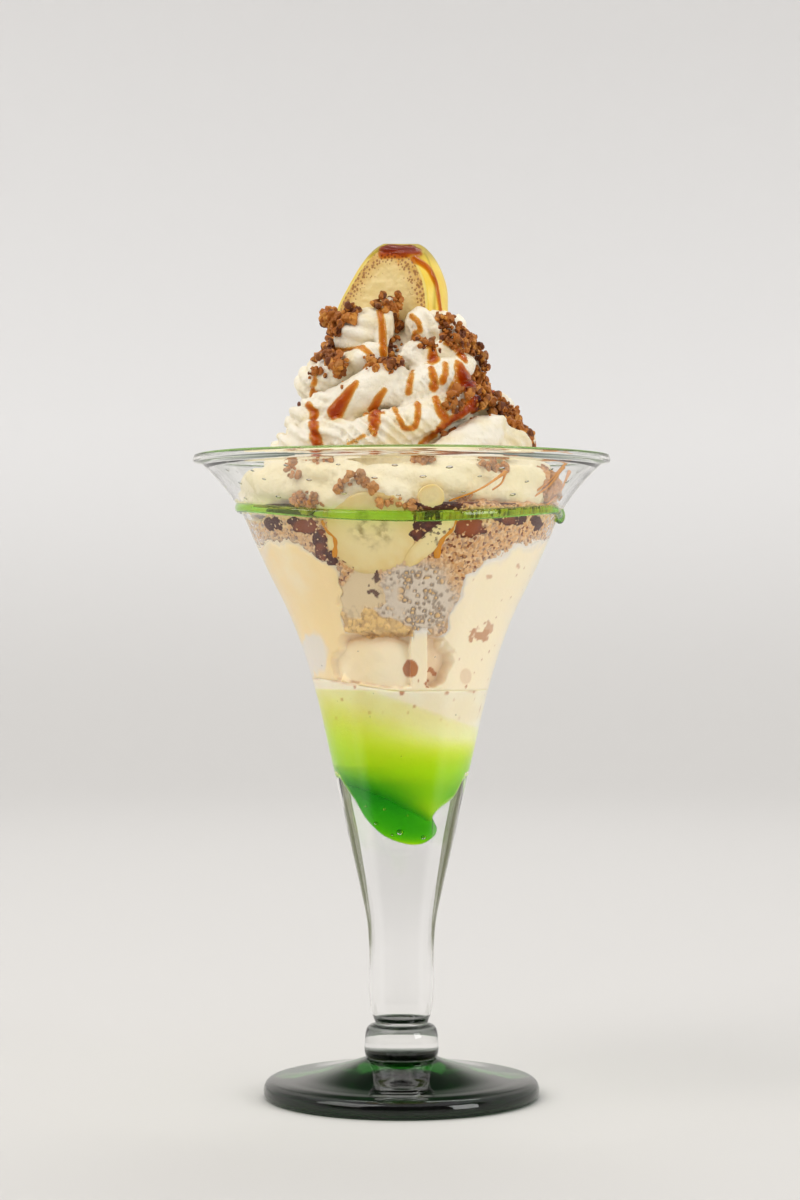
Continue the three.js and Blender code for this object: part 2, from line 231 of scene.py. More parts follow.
@dataclass
class Skin:
    """Points and faces of a mesh being made, in mm unless said otherwise."""

    points: Array | list[Triple]
    faces: list[tuple[int, ...]]

    def joined(self, other: Skin) -> Skin:
        """This skin and another as one, not welded."""
        shift = len(self.points)
        moved = [tuple(i + shift for i in face) for face in other.faces]
        return Skin(np.vstack([self.points, other.points]), self.faces + moved)

    def turned_inside_out(self) -> Skin:
        """The same skin facing the other way."""
        return Skin(self.points, [face[::-1] for face in self.faces])


def wrap(rings: Array, low: Array | None = None, high: Array | None = None) -> Skin:
    """Wraps a closed skin over rings of points, with a pole at each end.

    Args:
        rings: (rows, sides, 3) array; turning about +Z as rows climb makes faces point out.
        low: First pole; the middle of the first ring if not given.
        high: Last pole; the middle of the last ring if not given.

    Returns:
        The closed skin.
    """
    rows, sides, _ = rings.shape
    low = rings[0].mean(0) if low is None else low
    high = rings[-1].mean(0) if high is None else high
    points = np.vstack([rings.reshape(-1, 3), low, high])
    row, side = np.meshgrid(np.arange(rows - 1), np.arange(sides), indexing="ij")
    here, after = row * sides + side, row * sides + (side + 1) % sides
    quads = np.stack([here, after, after + sides, here + sides], axis=-1).reshape(-1, 4)
    faces = [tuple(q) for q in quads.tolist()]
    bottom, top, last = rows * sides, rows * sides + 1, (rows - 1) * sides
    for j in range(sides):
        k = (j + 1) % sides
        faces.append((bottom, k, j))
        faces.append((top, last + j, last + k))
    return Skin(points, faces)


def circle(sides: int) -> tuple[Array, Array]:
    """Cosines and sines of evenly spaced turns."""
    angle = np.arange(sides) / sides * TURN
    return np.cos(angle), np.sin(angle)


def turned(profile: Array, sides: int) -> Skin:
    """A turned skin about +Z from (rows, 2) radii and heights, lowest pole first."""
    cos, sin = circle(sides)
    return wrap(xyz(profile[:, :1] * cos, profile[:, :1] * sin, profile[:, 1:]))


def ball(subdivisions: int) -> Skin:
    """A ball of radius 1 made of even triangles."""
    mesh = bmesh.new()
    bmesh.ops.create_icosphere(mesh, subdivisions=subdivisions, radius=1.0)
    skin = skin_of(mesh)
    mesh.free()
    return skin


def skin_of(mesh: bmesh.types.BMesh) -> Skin:
    """A working mesh's points and faces, in its own unit."""
    points = np.array([v.co[:] for v in mesh.verts])
    return Skin(points, [tuple(v.index for v in f.verts) for f in mesh.faces])


def tube(
    path: Array, across: Array, flutes: int = 0, depth: float = 0.0, twist: float = 0.0,
    sides: int = 16, flat: float = 1.0, up: Array | None = None,
) -> Skin:
    """A closed tube along a path, round or star-shaped in section.

    Args:
        path: (n, 3) array of points along the middle.
        across: Radius at each point.
        flutes: Number of ridges round the section, 0 for a round one.
        depth: Depth of the ridges as a share of the radius.
        twist: Turns that the ridges make along the whole path.
        sides: Points round the section.
        flat: Height of the section as a share of its width.
        up: Way that the section's height goes at each point.

    Returns:
        The closed skin.
    """
    ahead = np.gradient(path, axis=0)
    ahead /= np.linalg.norm(ahead, axis=1, keepdims=True) + 1e-9
    side = np.cross(np.array([0.0, 0.0, 1.0]) if up is None else up, ahead)
    side /= np.linalg.norm(side, axis=1, keepdims=True) + 1e-9
    over = np.cross(ahead, side)
    angle = np.arange(sides) / sides * TURN
    share = np.linspace(0.0, 1.0, len(path))
    phase = angle[None, :] - twist * TURN * share[:, None]
    ridge = 1.0 - depth * (1.0 - np.abs(np.cos(phase * flutes / 2.0))) if flutes else 1.0
    reach = across[:, None] * ridge * np.ones_like(phase)
    rings = (
        path[:, None, :]
        + side[:, None, :] * (reach * np.cos(angle))[..., None]
        + over[:, None, :] * (reach * np.sin(angle) * flat)[..., None]
    )
    return wrap(rings, path[0] - ahead[0] * across[0] * 0.3, path[-1] + ahead[-1] * across[-1] * 0.3)


def build_piece(name: str, skin: Skin, smooth: bool = True) -> Piece:
    """Makes a mesh object, in m and at the origin, from a skin in mm.

    Args:
        name: Name of the piece and its mesh.
        skin: Its points and faces.
        smooth: Whether its faces are shaded smooth.

    Returns:
        The piece.
    """
    mesh = bpy.data.meshes.new(name)
    mesh.from_pydata((skin.points * MM).tolist(), [], skin.faces)
    mesh.validate()
    mesh.update()
    if smooth:
        mesh.polygons.foreach_set("use_smooth", [True] * len(mesh.polygons))
    return placed(name, mesh)


def surface_of(piece: Piece) -> tuple[Array, Array]:
    """A piece's vertices in mm and its vertex normals."""
    both = np.zeros((2, len(piece.data.vertices) * 3))
    piece.data.vertices.foreach_get("co", both[0])
    piece.data.vertices.foreach_get("normal", both[1])
    return both[0].reshape(-1, 3) / MM, both[1].reshape(-1, 3)


def note(piece: Piece, name: str, values: Array) -> None:
    """Writes an attribute on a piece's vertices, a number each."""
    piece.data.attributes.new(name, "FLOAT", "POINT").data.foreach_set("value", values)


def applied(piece: Piece) -> Piece:
    """Turns a piece's modifiers into plain mesh and removes them.

    Args:
        piece: Piece with modifiers.

    Returns:
        The same piece.
    """
    graph = bpy.context.evaluated_depsgraph_get()
    mesh = bpy.data.meshes.new_from_object(piece.evaluated_get(graph), depsgraph=graph)
    old = piece.data
    piece.modifiers.clear()
    piece.data = mesh
    mesh.name = piece.name
    bpy.data.meshes.remove(old)
    return piece


def fused(piece: Piece, voxel: float, smoothing: int) -> Piece:
    """Melts a piece's overlapping skins into one closed skin.

    Args:
        piece: Piece made of closed skins that overlap.
        voxel: Size of the cells that it is remade from, in mm.
        smoothing: Times the new skin is smoothed.

    Returns:
        The same piece.
    """
    remesh = piece.modifiers.new("fuse", "REMESH")
    remesh.mode = "VOXEL"
    remesh.voxel_size = voxel * MM
    remesh.use_smooth_shade = True
    soften = piece.modifiers.new("soften", "SMOOTH")
    soften.factor = 0.5
    soften.iterations = smoothing
    return applied(piece)


def dress(piece: Piece, material: Material, replaces: tuple[str, ...] = ()) -> Piece:
    """Gives a piece its finish, ties it to the glass and reports it.

    Args:
        piece: Finished piece.
        material: Its material.
        replaces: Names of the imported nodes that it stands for.

    Returns:
        The same piece.
    """
    piece.data.materials.clear()
    piece.data.materials.append(material)
    piece.data.polygons.foreach_set("material_index", [0] * len(piece.data.polygons))
    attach(piece, BODY)
    if replaces:
        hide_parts(*replaces)
    LOG.info("%s: %d faces", piece.name, len(piece.data.polygons))
    return piece


# ---- shader tools


def texture(tree: Tree, kind: str, size: float, **settings: object) -> bpy.types.Node:
    """A texture over object coordinates whose pattern repeats about every size mm."""
    place = add_node(tree, "ShaderNodeTexCoord").outputs["Object"]
    fit = add_node(tree, "ShaderNodeMapping", {"Scale": (1.0 / (size * MM),) * 3, "Vector": place})
    return add_node(tree, kind, {"Scale": 1.0, **settings, "Vector": fit.outputs["Vector"]})


def cover(
    tree: Tree, where: Socket | str, between: Pair | None = None, times: Socket | float | None = None
) -> Socket:
    """How far a coat covers a surface at each place.

    Args:
        tree: Material's tree.
        where: Socket of a pattern, or name of a number written on the mesh.
        between: Its values where the coat is bare and where it is full; none to take it as it is.
        times: Share or socket that thins the coat.

    Returns:
        Socket of the share that is covered.
    """
    if isinstance(where, str):
        where = add_node(tree, "ShaderNodeAttribute", {"attribute_name": where}).outputs["Fac"]
    if between:
        climb = {"interpolation_type": "SMOOTHSTEP", "From Min": between[0], "From Max": between[1]}
        where = add_node(tree, "ShaderNodeMapRange", {**climb, "Value": where}).outputs["Result"]
    if times is not None:
        where = add_node(tree, "ShaderNodeMath", {"operation": "MULTIPLY", 0: where, 1: times}).outputs[0]
    return where


def coated(tree: Tree, base: Socket | str, *coats: tuple[Socket | str, str]) -> Socket:
    """A colour under coats of others.

    Args:
        tree: Material's tree.
        base: Lowest colour, as a socket or a hex code.
        coats: What says where each lies, as for cover, and its hex colour.

    Returns:
        Socket of the colour on top.
    """
    for where, colour in coats:
        mix = {"data_type": "RGBA", 0: cover(tree, where), 6: base, 7: colour}
        base = add_node(tree, "ShaderNodeMix", mix).outputs[2]
    return base


def grain_tones(tree: Tree, size: float) -> tuple[Socket, Socket]:
    """Two random numbers for each grain of about a size in mm."""
    cell = texture(tree, "ShaderNodeTexVoronoi", size).outputs["Color"]
    tones = add_node(tree, "ShaderNodeSeparateColor", {0: cell}).outputs
    return tones[0], tones[1]


# ---- finishes


@dataclass(frozen=True)
class Finish:
    """A real surface: its plain colour and roughness, and what its kind adds to them."""

    SETTINGS = {}  # further Principled inputs
    RELIEF = None  # fine relief: its grain in mm, the noise's detail and its depth in mm

    name: str
    colour: str
    roughness: float

    def paint(self, tree: Tree) -> Socket | None:
        """The socket of the colour where it varies; none for a plain one."""
        return None

    def make(self) -> Material:
        """A new material with a Principled surface.

        Returns:
            The material.
        """
        material = bpy.data.materials.new(self.name)
        material.use_nodes = True
        material.diffuse_color = linear(self.colour)
        tree = material.node_tree
        surface = tree.nodes["Principled BSDF"]
        plain = {"Base Color": linear(self.colour), "Roughness": self.roughness}
        for name, value in {**plain, **self.SETTINGS}.items():
            surface.inputs[name].default_value = value
        colour = self.paint(tree)
        if colour is not None:
            tree.links.new(colour, surface.inputs["Base Color"])
        if self.RELIEF:
            size, detail, depth = self.RELIEF
            height = texture(tree, "ShaderNodeTexNoise", size, Detail=detail).outputs["Fac"]
            bump = {"Strength": 1.0, "Distance": depth * MM, "Height": height}
            bump = add_node(tree, "ShaderNodeBump", bump)
            tree.links.new(bump.outputs["Normal"], surface.inputs["Normal"])
        return material


@dataclass(frozen=True)
class ClearMelt(Finish):
    """Something clear, set from a melt, that takes its colour from its depth.

    cast tints the light from lamps and walls, which goes straight through it to the food.
    """

    SETTINGS = {"Transmission Weight": 1.0}

    ior: float = 1.52
    density: float = 0.0
    through: str = "#ffffff"
    cast: str = "#ffffff"

    def make(self) -> Material:
        """Bends what the camera sees, absorbs by depth and lets soft light straight through.

        Returns:
            The material.
        """
        material = super().make()
        tree = material.node_tree
        surface, out = tree.nodes["Principled BSDF"], tree.nodes["Material Output"]
        surface.inputs["IOR"].default_value = self.ior
        if self.density:
            depth = {"Color": self.through, "Density": self.density}
            depth = add_node(tree, "ShaderNodeVolumeAbsorption", depth)
            tree.links.new(depth.outputs[0], out.inputs["Volume"])
        path = add_node(tree, "ShaderNodeLightPath").outputs
        soft = {"operation": "MAXIMUM", 0: path["Is Shadow Ray"], 1: path["Is Diffuse Ray"]}
        soft = add_node(tree, "ShaderNodeMath", soft).outputs[0]
        clear = add_node(tree, "ShaderNodeBsdfTransparent", {"Color": self.cast}).outputs[0]
        mix = add_node(tree, "ShaderNodeMixShader", {0: soft, 1: surface.outputs[0], 2: clear})
        tree.links.new(mix.outputs[0], out.inputs["Surface"])
        return material


@dataclass(frozen=True)
class BlownGlass(ClearMelt):
    """Blown soda-lime glass, clear or coloured in the melt."""


@dataclass(frozen=True)
class Caramel(ClearMelt):
    """Poured caramel: clear, glossy, amber where thin and red-brown where deep."""

    ior: float = 1.38
    density: float = 3100.0
    through: str = "#f2cf00"


@dataclass(frozen=True)
class VanillaIceCream(Finish):
    """Soft vanilla ice cream pressed to the glass, warmer, milky, flecked and painted with shade where the
    mesh says.
    """

    SETTINGS = {
        "Subsurface Weight": 0.3, "Subsurface Radius": (1.0, 0.7, 0.4), "Subsurface Scale": 1.6 * MM,
        "Specular IOR Level": 0.4,
    }
    RELIEF = (1.4, 4.0, 0.12)

    warm: str = "#ffe0a6"
    # brown of the flecks, also laid as painted shade along the meniscus and over the scoop's top
    fleck: str = "#b8713a"
    milky: str = "#ece3d4"

    def paint(self, tree: Tree) -> Socket:
        """Warmth comes and goes; milk, flecks and painted shade lie over it."""
        broad = texture(tree, "ShaderNodeTexNoise", 16.0, Detail=3.0).outputs["Fac"]
        warmth = cover(tree, broad, (0.1, 0.6), cover(tree, "warm"))
        return coated(tree, self.colour, (warmth, self.warm), ("milk", self.milky), ("fleck", self.fleck))


@dataclass(frozen=True)
class PressedCrumb(Finish):
    """Biscuit crumb in melted ice cream, seen through the glass."""

    SETTINGS = {"Specular IOR Level": 0.3}
    RELIEF = (0.6, 3.0, 0.12)

    pale: str = "#eec998"
    dark: str = "#8a4f26"
    milk: str = "#dfd1bd"
    sponge: str = "#efc987"
    # painted shade in grooves, gaps and creases, and the colour of real dark bits of crumb
    groove: str = "#6b4a38"
    # the smooth ice cream in the hollow, painted darker as the shade of the recess
    bay: str = "#e8d0a4"

    def paint(self, tree: Tree) -> Socket:
        """Each grain has its own brown; milk fills the gaps between them, and painted shade darkens the
        grooves.
        """
        first, second = grain_tones(tree, 0.9)
        few = cover(tree, second, (0.74, 0.92))
        brown = coated(tree, self.colour, (first, self.pale), (few, self.dark))
        wet = (("milk", self.milk), ("sponge", self.sponge), ("bay", self.bay), ("groove", self.groove))
        return coated(tree, brown, *wet)


@dataclass(frozen=True)
class Toffee(Finish):
    """Dark toffee set in the crumb; lighter red-amber is painted glow where the mesh says, and the plain
    colour of thin set caramel where it says nothing.
    """

    SETTINGS = {"IOR": 1.47}
    RELIEF = (1.2, 3.0, 0.2)

    # painted glow on the toffee, as if lit through; the plain colour of the thin caramel strands
    thin_and_glow: str = "#9c4a16"

    def paint(self, tree: Tree) -> Socket:
        """Follows the number written on the mesh as depth, which on the toffee is painted glow."""
        return coated(tree, self.thin_and_glow, ("depth", self.colour))


@dataclass(frozen=True)
class WhippedCream(Finish):
    """Piped whipped cream: dense, faintly grainy, and wetter and yellower where pressed to the glass."""

    SETTINGS = {
        "Subsurface Weight": 0.15, "Subsurface Radius": (1.0, 0.85, 0.6), "Subsurface Scale": 1.0 * MM,
        "Specular IOR Level": 0.45,
    }
    RELIEF = (1.1, 5.0, 0.35)

    shade: str = "#eddfb8"
    pressed: str = "#f3e4b6"

    def paint(self, tree: Tree) -> Socket:
        """Painted yellowish shade in broad random patches, and warmer against the glass."""
        broad = texture(tree, "ShaderNodeTexNoise", 9.0, Detail=3.0).outputs["Fac"]
        patches = cover(tree, broad, (0.4, 0.75))
        return coated(tree, self.colour, (patches, self.shade), ("pressed", self.pressed))


@dataclass(frozen=True)
class BiscuitCrumb(Finish):
    """Dry digestive-biscuit crumb, each piece baked a little differently."""

    SETTINGS = {"Specular IOR Level": 0.4}
    RELIEF = (0.5, 4.0, 0.2)

    pale: str = "#cf8c38"
    dark: str = "#68330e"
    pressed: str = "#d8a468"
    rim: Pair = (0.207, 0.2)  # heights in m where it starts and ends to be wet

    def paint(self, tree: Tree) -> Socket:
        """Browns vary from crumb to crumb, wet and paler where pressed to the glass."""
        first, second = grain_tones(tree, 2.4)
        place = add_node(tree, "ShaderNodeTexCoord").outputs["Object"]
        height = add_node(tree, "ShaderNodeSeparateXYZ", {0: place}).outputs["Z"]
        return coated(
            tree,
            self.colour,
            (cover(tree, first, (0.45, 0.95)), self.pale),
            (cover(tree, second, (0.45, 0.95)), self.dark),
            (cover(tree, height, self.rim, 0.45), self.pressed),
        )


@dataclass(frozen=True)
class BananaFlesh(Finish):
    """Cut banana, wet, with a seedy core or browned dots near the peel."""

    SETTINGS = {
        "Subsurface Weight": 0.3, "Subsurface Radius": (1.0, 0.8, 0.35), "Subsurface Scale": 1.5 * MM,
    }
    RELIEF = (2.2, 4.0, 0.25)

    core: str = "#a39a6c"
    dot: str = "#b3834a"
    flush: str = "#ecdc9a"

    def paint(self, tree: Tree) -> Socket:
        """The core and the ring of dots follow what is written on the mesh."""
        fibre = texture(tree, "ShaderNodeTexNoise", 2.2, Detail=4.0).outputs["Fac"]
        spots = texture(tree, "ShaderNodeTexVoronoi", 1.0).outputs["Distance"]
        near = {"operation": "SUBTRACT", 0: cover(tree, "rim"), 1: spots}
        near = add_node(tree, "ShaderNodeMath", near).outputs[0]
        seedy = cover(tree, fibre, (0.35, 0.65), cover(tree, "core"))
        dots = cover(tree, near, (0.02, 0.16))
        return coated(tree, self.colour, ("flush", self.flush), (seedy, self.core), (dots, self.dot))


@dataclass(frozen=True)
class BananaPeel(Finish):
    """Ripe banana skin, faintly streaked, olive at the angles, fibrous and pale where cut."""

    SETTINGS = {"Specular IOR Level": 0.4}
    RELIEF = (0.8, 3.0, 0.08)

    streak: str = "#f4d95e"
    ridge: str = "#b29a24"
    cut: str = "#f0dc7c"

    def paint(self, tree: Tree) -> Socket:
        """Yellow with faint streaks."""
        fibre = texture(tree, "ShaderNodeTexNoise", 7.0, Detail=4.0).outputs["Fac"]
        faint = cover(tree, fibre, (0.3, 0.8))
        return coated(tree, self.colour, (faint, self.streak), ("ridge", self.ridge), ("cut", self.cut))


@dataclass(frozen=True)
class SeamlessPaper(Finish):
    """Matt backdrop paper, paler on the wall than on the floor and greyest in front."""

    SETTINGS = {"Specular IOR Level": 0.1}

    floor: str = "#cfcdca"
    front: str = "#adacaa"

    def paint(self, tree: Tree) -> Socket:
        """Tones by place, with no edge between them; ranges are in m."""
        place = add_node(tree, "ShaderNodeTexCoord").outputs["Object"]
        parts = add_node(tree, "ShaderNodeSeparateXYZ", {0: place}).outputs
        behind = cover(tree, parts["Y"], (-1.6, 0.2))
        low = cover(tree, parts["Z"], (0.36, 0.0))
        return coated(tree, self.front, (behind, self.colour), (low, self.floor))


@dataclass(frozen=True)
class FadedBoard(Finish):
    """A matt board that fades to a paler tone, with no edge to be seen in glass.

    aside is where it is pale and where it is dark, as the sine of the angle from straight behind or in
    front, and up is the same by height in m.
    """

    pale: str = "#dddcd8"
    aside: Pair = (9.0, 8.0)
    up: Pair = (-2.0, -1.0)

    def paint(self, tree: Tree) -> Socket:
        """Tones by place."""
        place = add_node(tree, "ShaderNodeTexCoord").outputs["Object"]
        parts = add_node(tree, "ShaderNodeSeparateXYZ", {0: place}).outputs
        away = add_node(tree, "ShaderNodeVectorMath", {"operation": "LENGTH", 0: place}).outputs["Value"]
        side = add_node(tree, "ShaderNodeMath", {"operation": "ABSOLUTE", 0: parts["X"]}).outputs[0]
        side = add_node(tree, "ShaderNodeMath", {"operation": "DIVIDE", 0: side, 1: away}).outputs[0]
        dark = cover(tree, side, self.aside, cover(tree, parts["Z"], self.up))
        return coated(tree, self.pale, (dark, self.colour))


DIM_WALL = FadedBoard("dim green board", "#26442a", 0.9, "#eeedea", (0.44, 0.06), (0.24, 0.54))
DIM_FRONT = FadedBoard("dim studio board", "#5c5c5a", 0.9, "#e4e3e1", (0.985, 0.8))
CARD = FadedBoard("olive card", "#565c1c", 0.9, up=(0.026, 0.036))
PAPER = SeamlessPaper("pale grey paper", "#e9e8e7", 0.9)
CLEAR_GLASS = BlownGlass("clear blown soda-lime glass", "#ffffff", 0.0)
GREEN_IN_GLASS = BlownGlass("green glass fused inside clear glass", "#ffffff", 0.0, 1.0, 1400.0, "#f0fb00")
GREEN_THREAD = BlownGlass("trailed green glass", "#ffffff", 0.0, 1.52, 720.0, "#d6f900")
LIP_GREEN = BlownGlass("fine trailed green glass", "#ffffff", 0.0, 1.52, 1500.0, "#bce800")
DARK_GREEN_GLASS = BlownGlass("dark green glass", "#c2e8b8", 0.0, 1.52, 100.0, "#46c440", "#58785a")
WELD = BlownGlass("dark green glass fused inside clear glass", "#ffffff", 0.0, 1.0, 420.0, "#56705a")
ICE_CREAM = VanillaIceCream("vanilla ice cream", "#ffedca", 0.5)
MELTED = VanillaIceCream("melted ice cream", "#fffae2", 0.45, "#f8eac6")
PRESSED_CRUMB = PressedCrumb("biscuit crumb in milk", "#d89f5f", 0.5)
CARAMEL = Caramel("poured caramel", "#ffffff", 0.03)
TOFFEE = Toffee("dark toffee", "#4a1a0a", 0.2)
AMBER = Toffee("thin set caramel", "#7a3208", 0.12, "#d68c22")
CREAM = WhippedCream("piped whipped cream", "#f3ebd8", 0.42)
CRUMB = BiscuitCrumb("baked biscuit crumb", "#ac641c", 0.5)
SLICE_FLESH = BananaFlesh("wet banana slice", "#f2dfa4", 0.3, "#a38b52", "#b3834a", "#eacb80")
TIP_FLESH = BananaFlesh("cut banana end", "#ecd594", 0.35, "#a39a6c", "#a8763c", "#dab05c")
PEEL = BananaPeel("ripe banana peel", "#f0c93a", 0.35)


# ---- the glass


class Trumpet:
    """The blown glass's shape in mm: outside, wall and hollow by height."""

    OUTSIDE = (
        (23.4, 8.3), (27.5, 9.7), (33, 10.4), (47, 10.45), (56, 11.1), (66, 13.1), (80, 16.3), (95, 19.5),
        (110, 23), (125, 26.4), (140, 30.6), (155, 36.2), (168, 42.6), (178, 47.2), (187, 51.2),
        (193, 55.2), (198.5, 59.9), (203, 64.5),
    )
    WALL = (
        (27, 0.4), (40, 0.42), (50, 0.62), (60, 1), (70, 1.42), (80, 1.75), (95, 1.8), (106, 2.1), (122, 2),
        (203, 2),
    )
    CUP = ((107, 17.4), (113, 19.9), (122, 22.9), (131, 26.4))
    TIP = (  # height, drift, half width and half depth of the melted ice cream low in the green
        (89.8, 6, 0.6, 0.7), (91.6, 5.8, 2.2, 3.6), (94.2, 5, 4.6, 7.2), (97.2, 4.2, 7.4, 10.2),
        (100.4, 3, 11, 13), (103.6, 1.2, 14.9, 15.8), (107, 0, 17.4, 17.4),
    )
    DROP = (  # height, left and right edge of the green mass's underside, highest first
        (104.2, -18.6, 18.9), (102.8, -17.8, 18.2), (101.4, -17, 17.6), (99.6, -15.9, 16.8),
        (97.5, -14.6, 15.6), (95.2, -13.4, 13), (92.9, -12.2, 10.6), (90.8, -11, 9.4), (88.8, -9.4, 10),
        (87.1, -7.8, 10.7), (85.2, -5.6, 10.2), (83.6, -2.6, 8.6), (82.5, 0.8, 6.8), (82.1, 2.8, 5),
    )
    HOLLOW_FLOOR = 24.5
    LIP = (65.5, 203.75, 1.3)  # radius and height of its middle, and half its thickness

    def outside(self, z: Array) -> Array:
        """Radius of the outer surface at a height."""
        return through(self.OUTSIDE, z)

    def inside(self, z: Array) -> Array:
        """Radius of the clear wall's inner surface at a height."""
        return self.outside(z) - through(self.WALL, z)

    def cup(self, z: Array) -> Array:
        """Radius of the melted ice cream in the green base at a height."""
        return through(self.CUP, z)

    def drop(self, count: int) -> Array:
        """Height, drift and radius of the green mass's underside, highest first."""
        z, left, right = smooth_path(np.array(self.DROP), count).T
        return xyz(z, (right + left) / 2, (right - left) / 2)

    def kept_inside(self, points: Array, past: float, top: float = 202) -> Array:
        """Points pulled in to the clear wall's inner surface where they are further out.

        Args:
            points: (n, 3) array of points.
            past: How far past the surface they may lie.
            top: Height from which the surface counts as upright.

        Returns:
            The points.
        """
        limit = self.inside(np.minimum(points[:, 2], top)) + past
        share = np.minimum(1, limit / np.maximum(np.hypot(points[:, 0], points[:, 1]), 1))
        return points * xyz(share, share, 1)


@dataclass
class Trail:
    """The green thread trailed round the bowl, which waves and ends in a knot."""

    height: float = 186.4
    knot: float = math.radians(83.5)

    def z(self, angle: Array) -> Array:
        """Height of the thread at an angle from the front, climbing to the right."""
        side = angle - math.pi / 2
        off = (angle - self.knot + math.pi) % TURN - math.pi
        wave = 1.9 * np.cos(2 * side) - 0.2 * np.cos(side)
        return self.height + wave - 2.2 * np.exp(-((off / 0.18) ** 2))

    def thick(self, angle: Array) -> Array:
        """Half the height of the thread at an angle from the front."""
        off = (angle - self.knot + math.pi) % TURN - math.pi
        return 1.6 + 0.12 * np.sin(3 * angle + 1) + 1.2 * np.exp(-((off / 0.045) ** 2))


@dataclass
class Glass:
    """The hand-blown glass: clear trumpet and knob, green base, threads and dark foot."""

    shape: Trumpet = field(default_factory=Trumpet)
    trail: Trail = field(default_factory=Trail)
    sides: int = 192

    FOOT = (
        (42.4, 0.05), (43.6, 0.4), (44.1, 1.4), (44.1, 3.2), (43.5, 4.7), (42.2, 5.6), (40.4, 6),
        (36, 6.55), (31, 7.25), (26.5, 8.15), (21, 9.5), (16.5, 10.8), (13.4, 11.8), (11.6, 12.5),
    )
    KNOB = (
        (10.4, 12.3), (11.2, 12.7), (11.75, 13.9), (11.9, 15.8), (11.75, 18.2), (11.5, 20.6), (11, 22.1),
        (10, 23), (9, 23.3), (8.4, 23.7),
    )

    TINT = (  # height on the left, and how thick the green is there
        (105, 1.9), (108, 1.7), (113, 1.3), (119, 0.85), (125, 0.44), (131, 0.17), (137, 0.03), (140, -0.3),
    )

    def outer_profile(self) -> Array:
        """Radius and height from the knob's foot to the lip's inside."""
        z = np.linspace(24.2, 202.4, 216)
        trumpet = np.stack([self.shape.outside(z), z], axis=1)
        radius, height, half = self.shape.LIP
        turn = np.radians(np.linspace(-35, 200, 16))
        lip = np.stack([radius + half * np.cos(turn), height + half * np.sin(turn)], axis=1)
        return np.vstack([[[10.2, 12.2]], smooth_path(np.array(self.KNOB), 24), trumpet, lip])

    def inner_profile(self) -> Array:
        """Radius and height of the bowl's inside from lip to cup floor."""
        wall = np.linspace(202.6, 131.5, 84)
        cup = np.linspace(130.5, 107, 40)
        wall = np.stack([self.shape.inside(wall), wall], axis=1)
        return np.vstack([wall, np.stack([self.shape.cup(cup) - 0.6, cup + 0.5], axis=1)])

    def clear(self) -> Piece:
        """Trumpet and knob with the hollow of the stem and the seeds in the wall."""
        body = turned(np.vstack([self.outer_profile(), self.inner_profile()]), self.sides)
        wobble = 0.10 * cloud(body.points * [1, 1, 0.5], 24, seed=3)
        away = body.points * [1, 1, 0]
        away /= np.linalg.norm(away, axis=1, keepdims=True) + 1e-6
        body.points = body.points + away * (wobble * (body.points[:, 2] > 30))[:, None]
        air = [skin.turned_inside_out() for skin in (self.hollow(), *self.seeds())]
        return build_piece("clear_glass", reduce(Skin.joined, air, body))

    def hollow(self) -> Skin:
        """The air inside the stem, under a curtain of glass that spans it from front to back.

        Returns:
            The skin.
        """
        half, deep, low = self.sides // 2, 16, self.shape.HOLLOW_FLOOR
        edge = np.array(self.shape.DROP)
        line = np.vstack([edge[:, [1, 0]], edge[::-1][:, [2, 0]]])
        line = smooth_path(np.vstack([[-19.05, 104.9], line, [19.3, 104.9]]), half + 1)
        line[[0, -1], 0] = self.shape.inside(line[[0, -1], 1]) * [-1, 1]
        wall = self.shape.inside(line[:, 1])
        rim = np.arcsin(np.clip(line[:, 0] / wall, -1, 1))
        rim = np.concatenate([rim, (math.pi - rim)[1:-1][::-1]])
        top = np.concatenate([line[:, 1], line[1:-1, 1][::-1]])
        plain = np.arange(2 * half) / half * math.pi - math.pi / 2
        rows = [(r, low + lift) for r, lift in ((3, 0), (5.6, 0.05), (7.2, 0.2), (7.9, 0.6))]
        rows += [(float(self.shape.inside(z)), z) for z in np.linspace(25.7, 78, 62)]
        rings = [around(r, plain, z) for r, z in rows]
        for share in np.linspace(0.04, 1, 18):
            z = 78 + (top - 78) * share
            angle = plain + (rim - plain) * ease(0, 1, share)
            rings.append(around(self.shape.inside(z), angle, z))
        skin = wrap(np.array(rings))
        crown = len(skin.points) - 1
        skin.faces = [face for face in skin.faces if crown not in face]
        front = np.sqrt(np.maximum(wall**2 - line[:, 0] ** 2, 0))
        across = np.linspace(-1, 1, deep + 1)[1:-1]
        within = xyz(line[1:-1, :1], front[1:-1, None] * across, line[1:-1, 1:])
        last, first = 2 * half * (len(rings) - 1), len(skin.points)
        skin.points = np.vstack([skin.points, within.reshape(-1, 3)])

        def at(i: int, k: int) -> int:
            """Index of the ceiling's point in column i, from front to back."""
            if i in (0, half) or k == 0:
                return last + i
            if k == deep:
                return last + (2 * half - i) % (2 * half)
            return first + (i - 1) * (deep - 1) + k - 1

        for i in range(half):
            for k in range(deep):
                face = (at(i, k), at(i + 1, k), at(i + 1, k + 1), at(i, k + 1))
                skin.faces.append(tuple(dict.fromkeys(face)))
        return skin

    def seed(self, at: Array, size: Array) -> Skin:
        """One air bubble, longer across than high."""
        angle = np.linspace(0.35, math.pi - 0.35, 6)[:, None]
        cos, sin = circle(10)
        rings = at + size * xyz(np.sin(angle) * cos, np.sin(angle) * sin, -np.cos(angle))
        return wrap(rings, at - [0, 0, size[2]], at + [0, 0, size[2]])

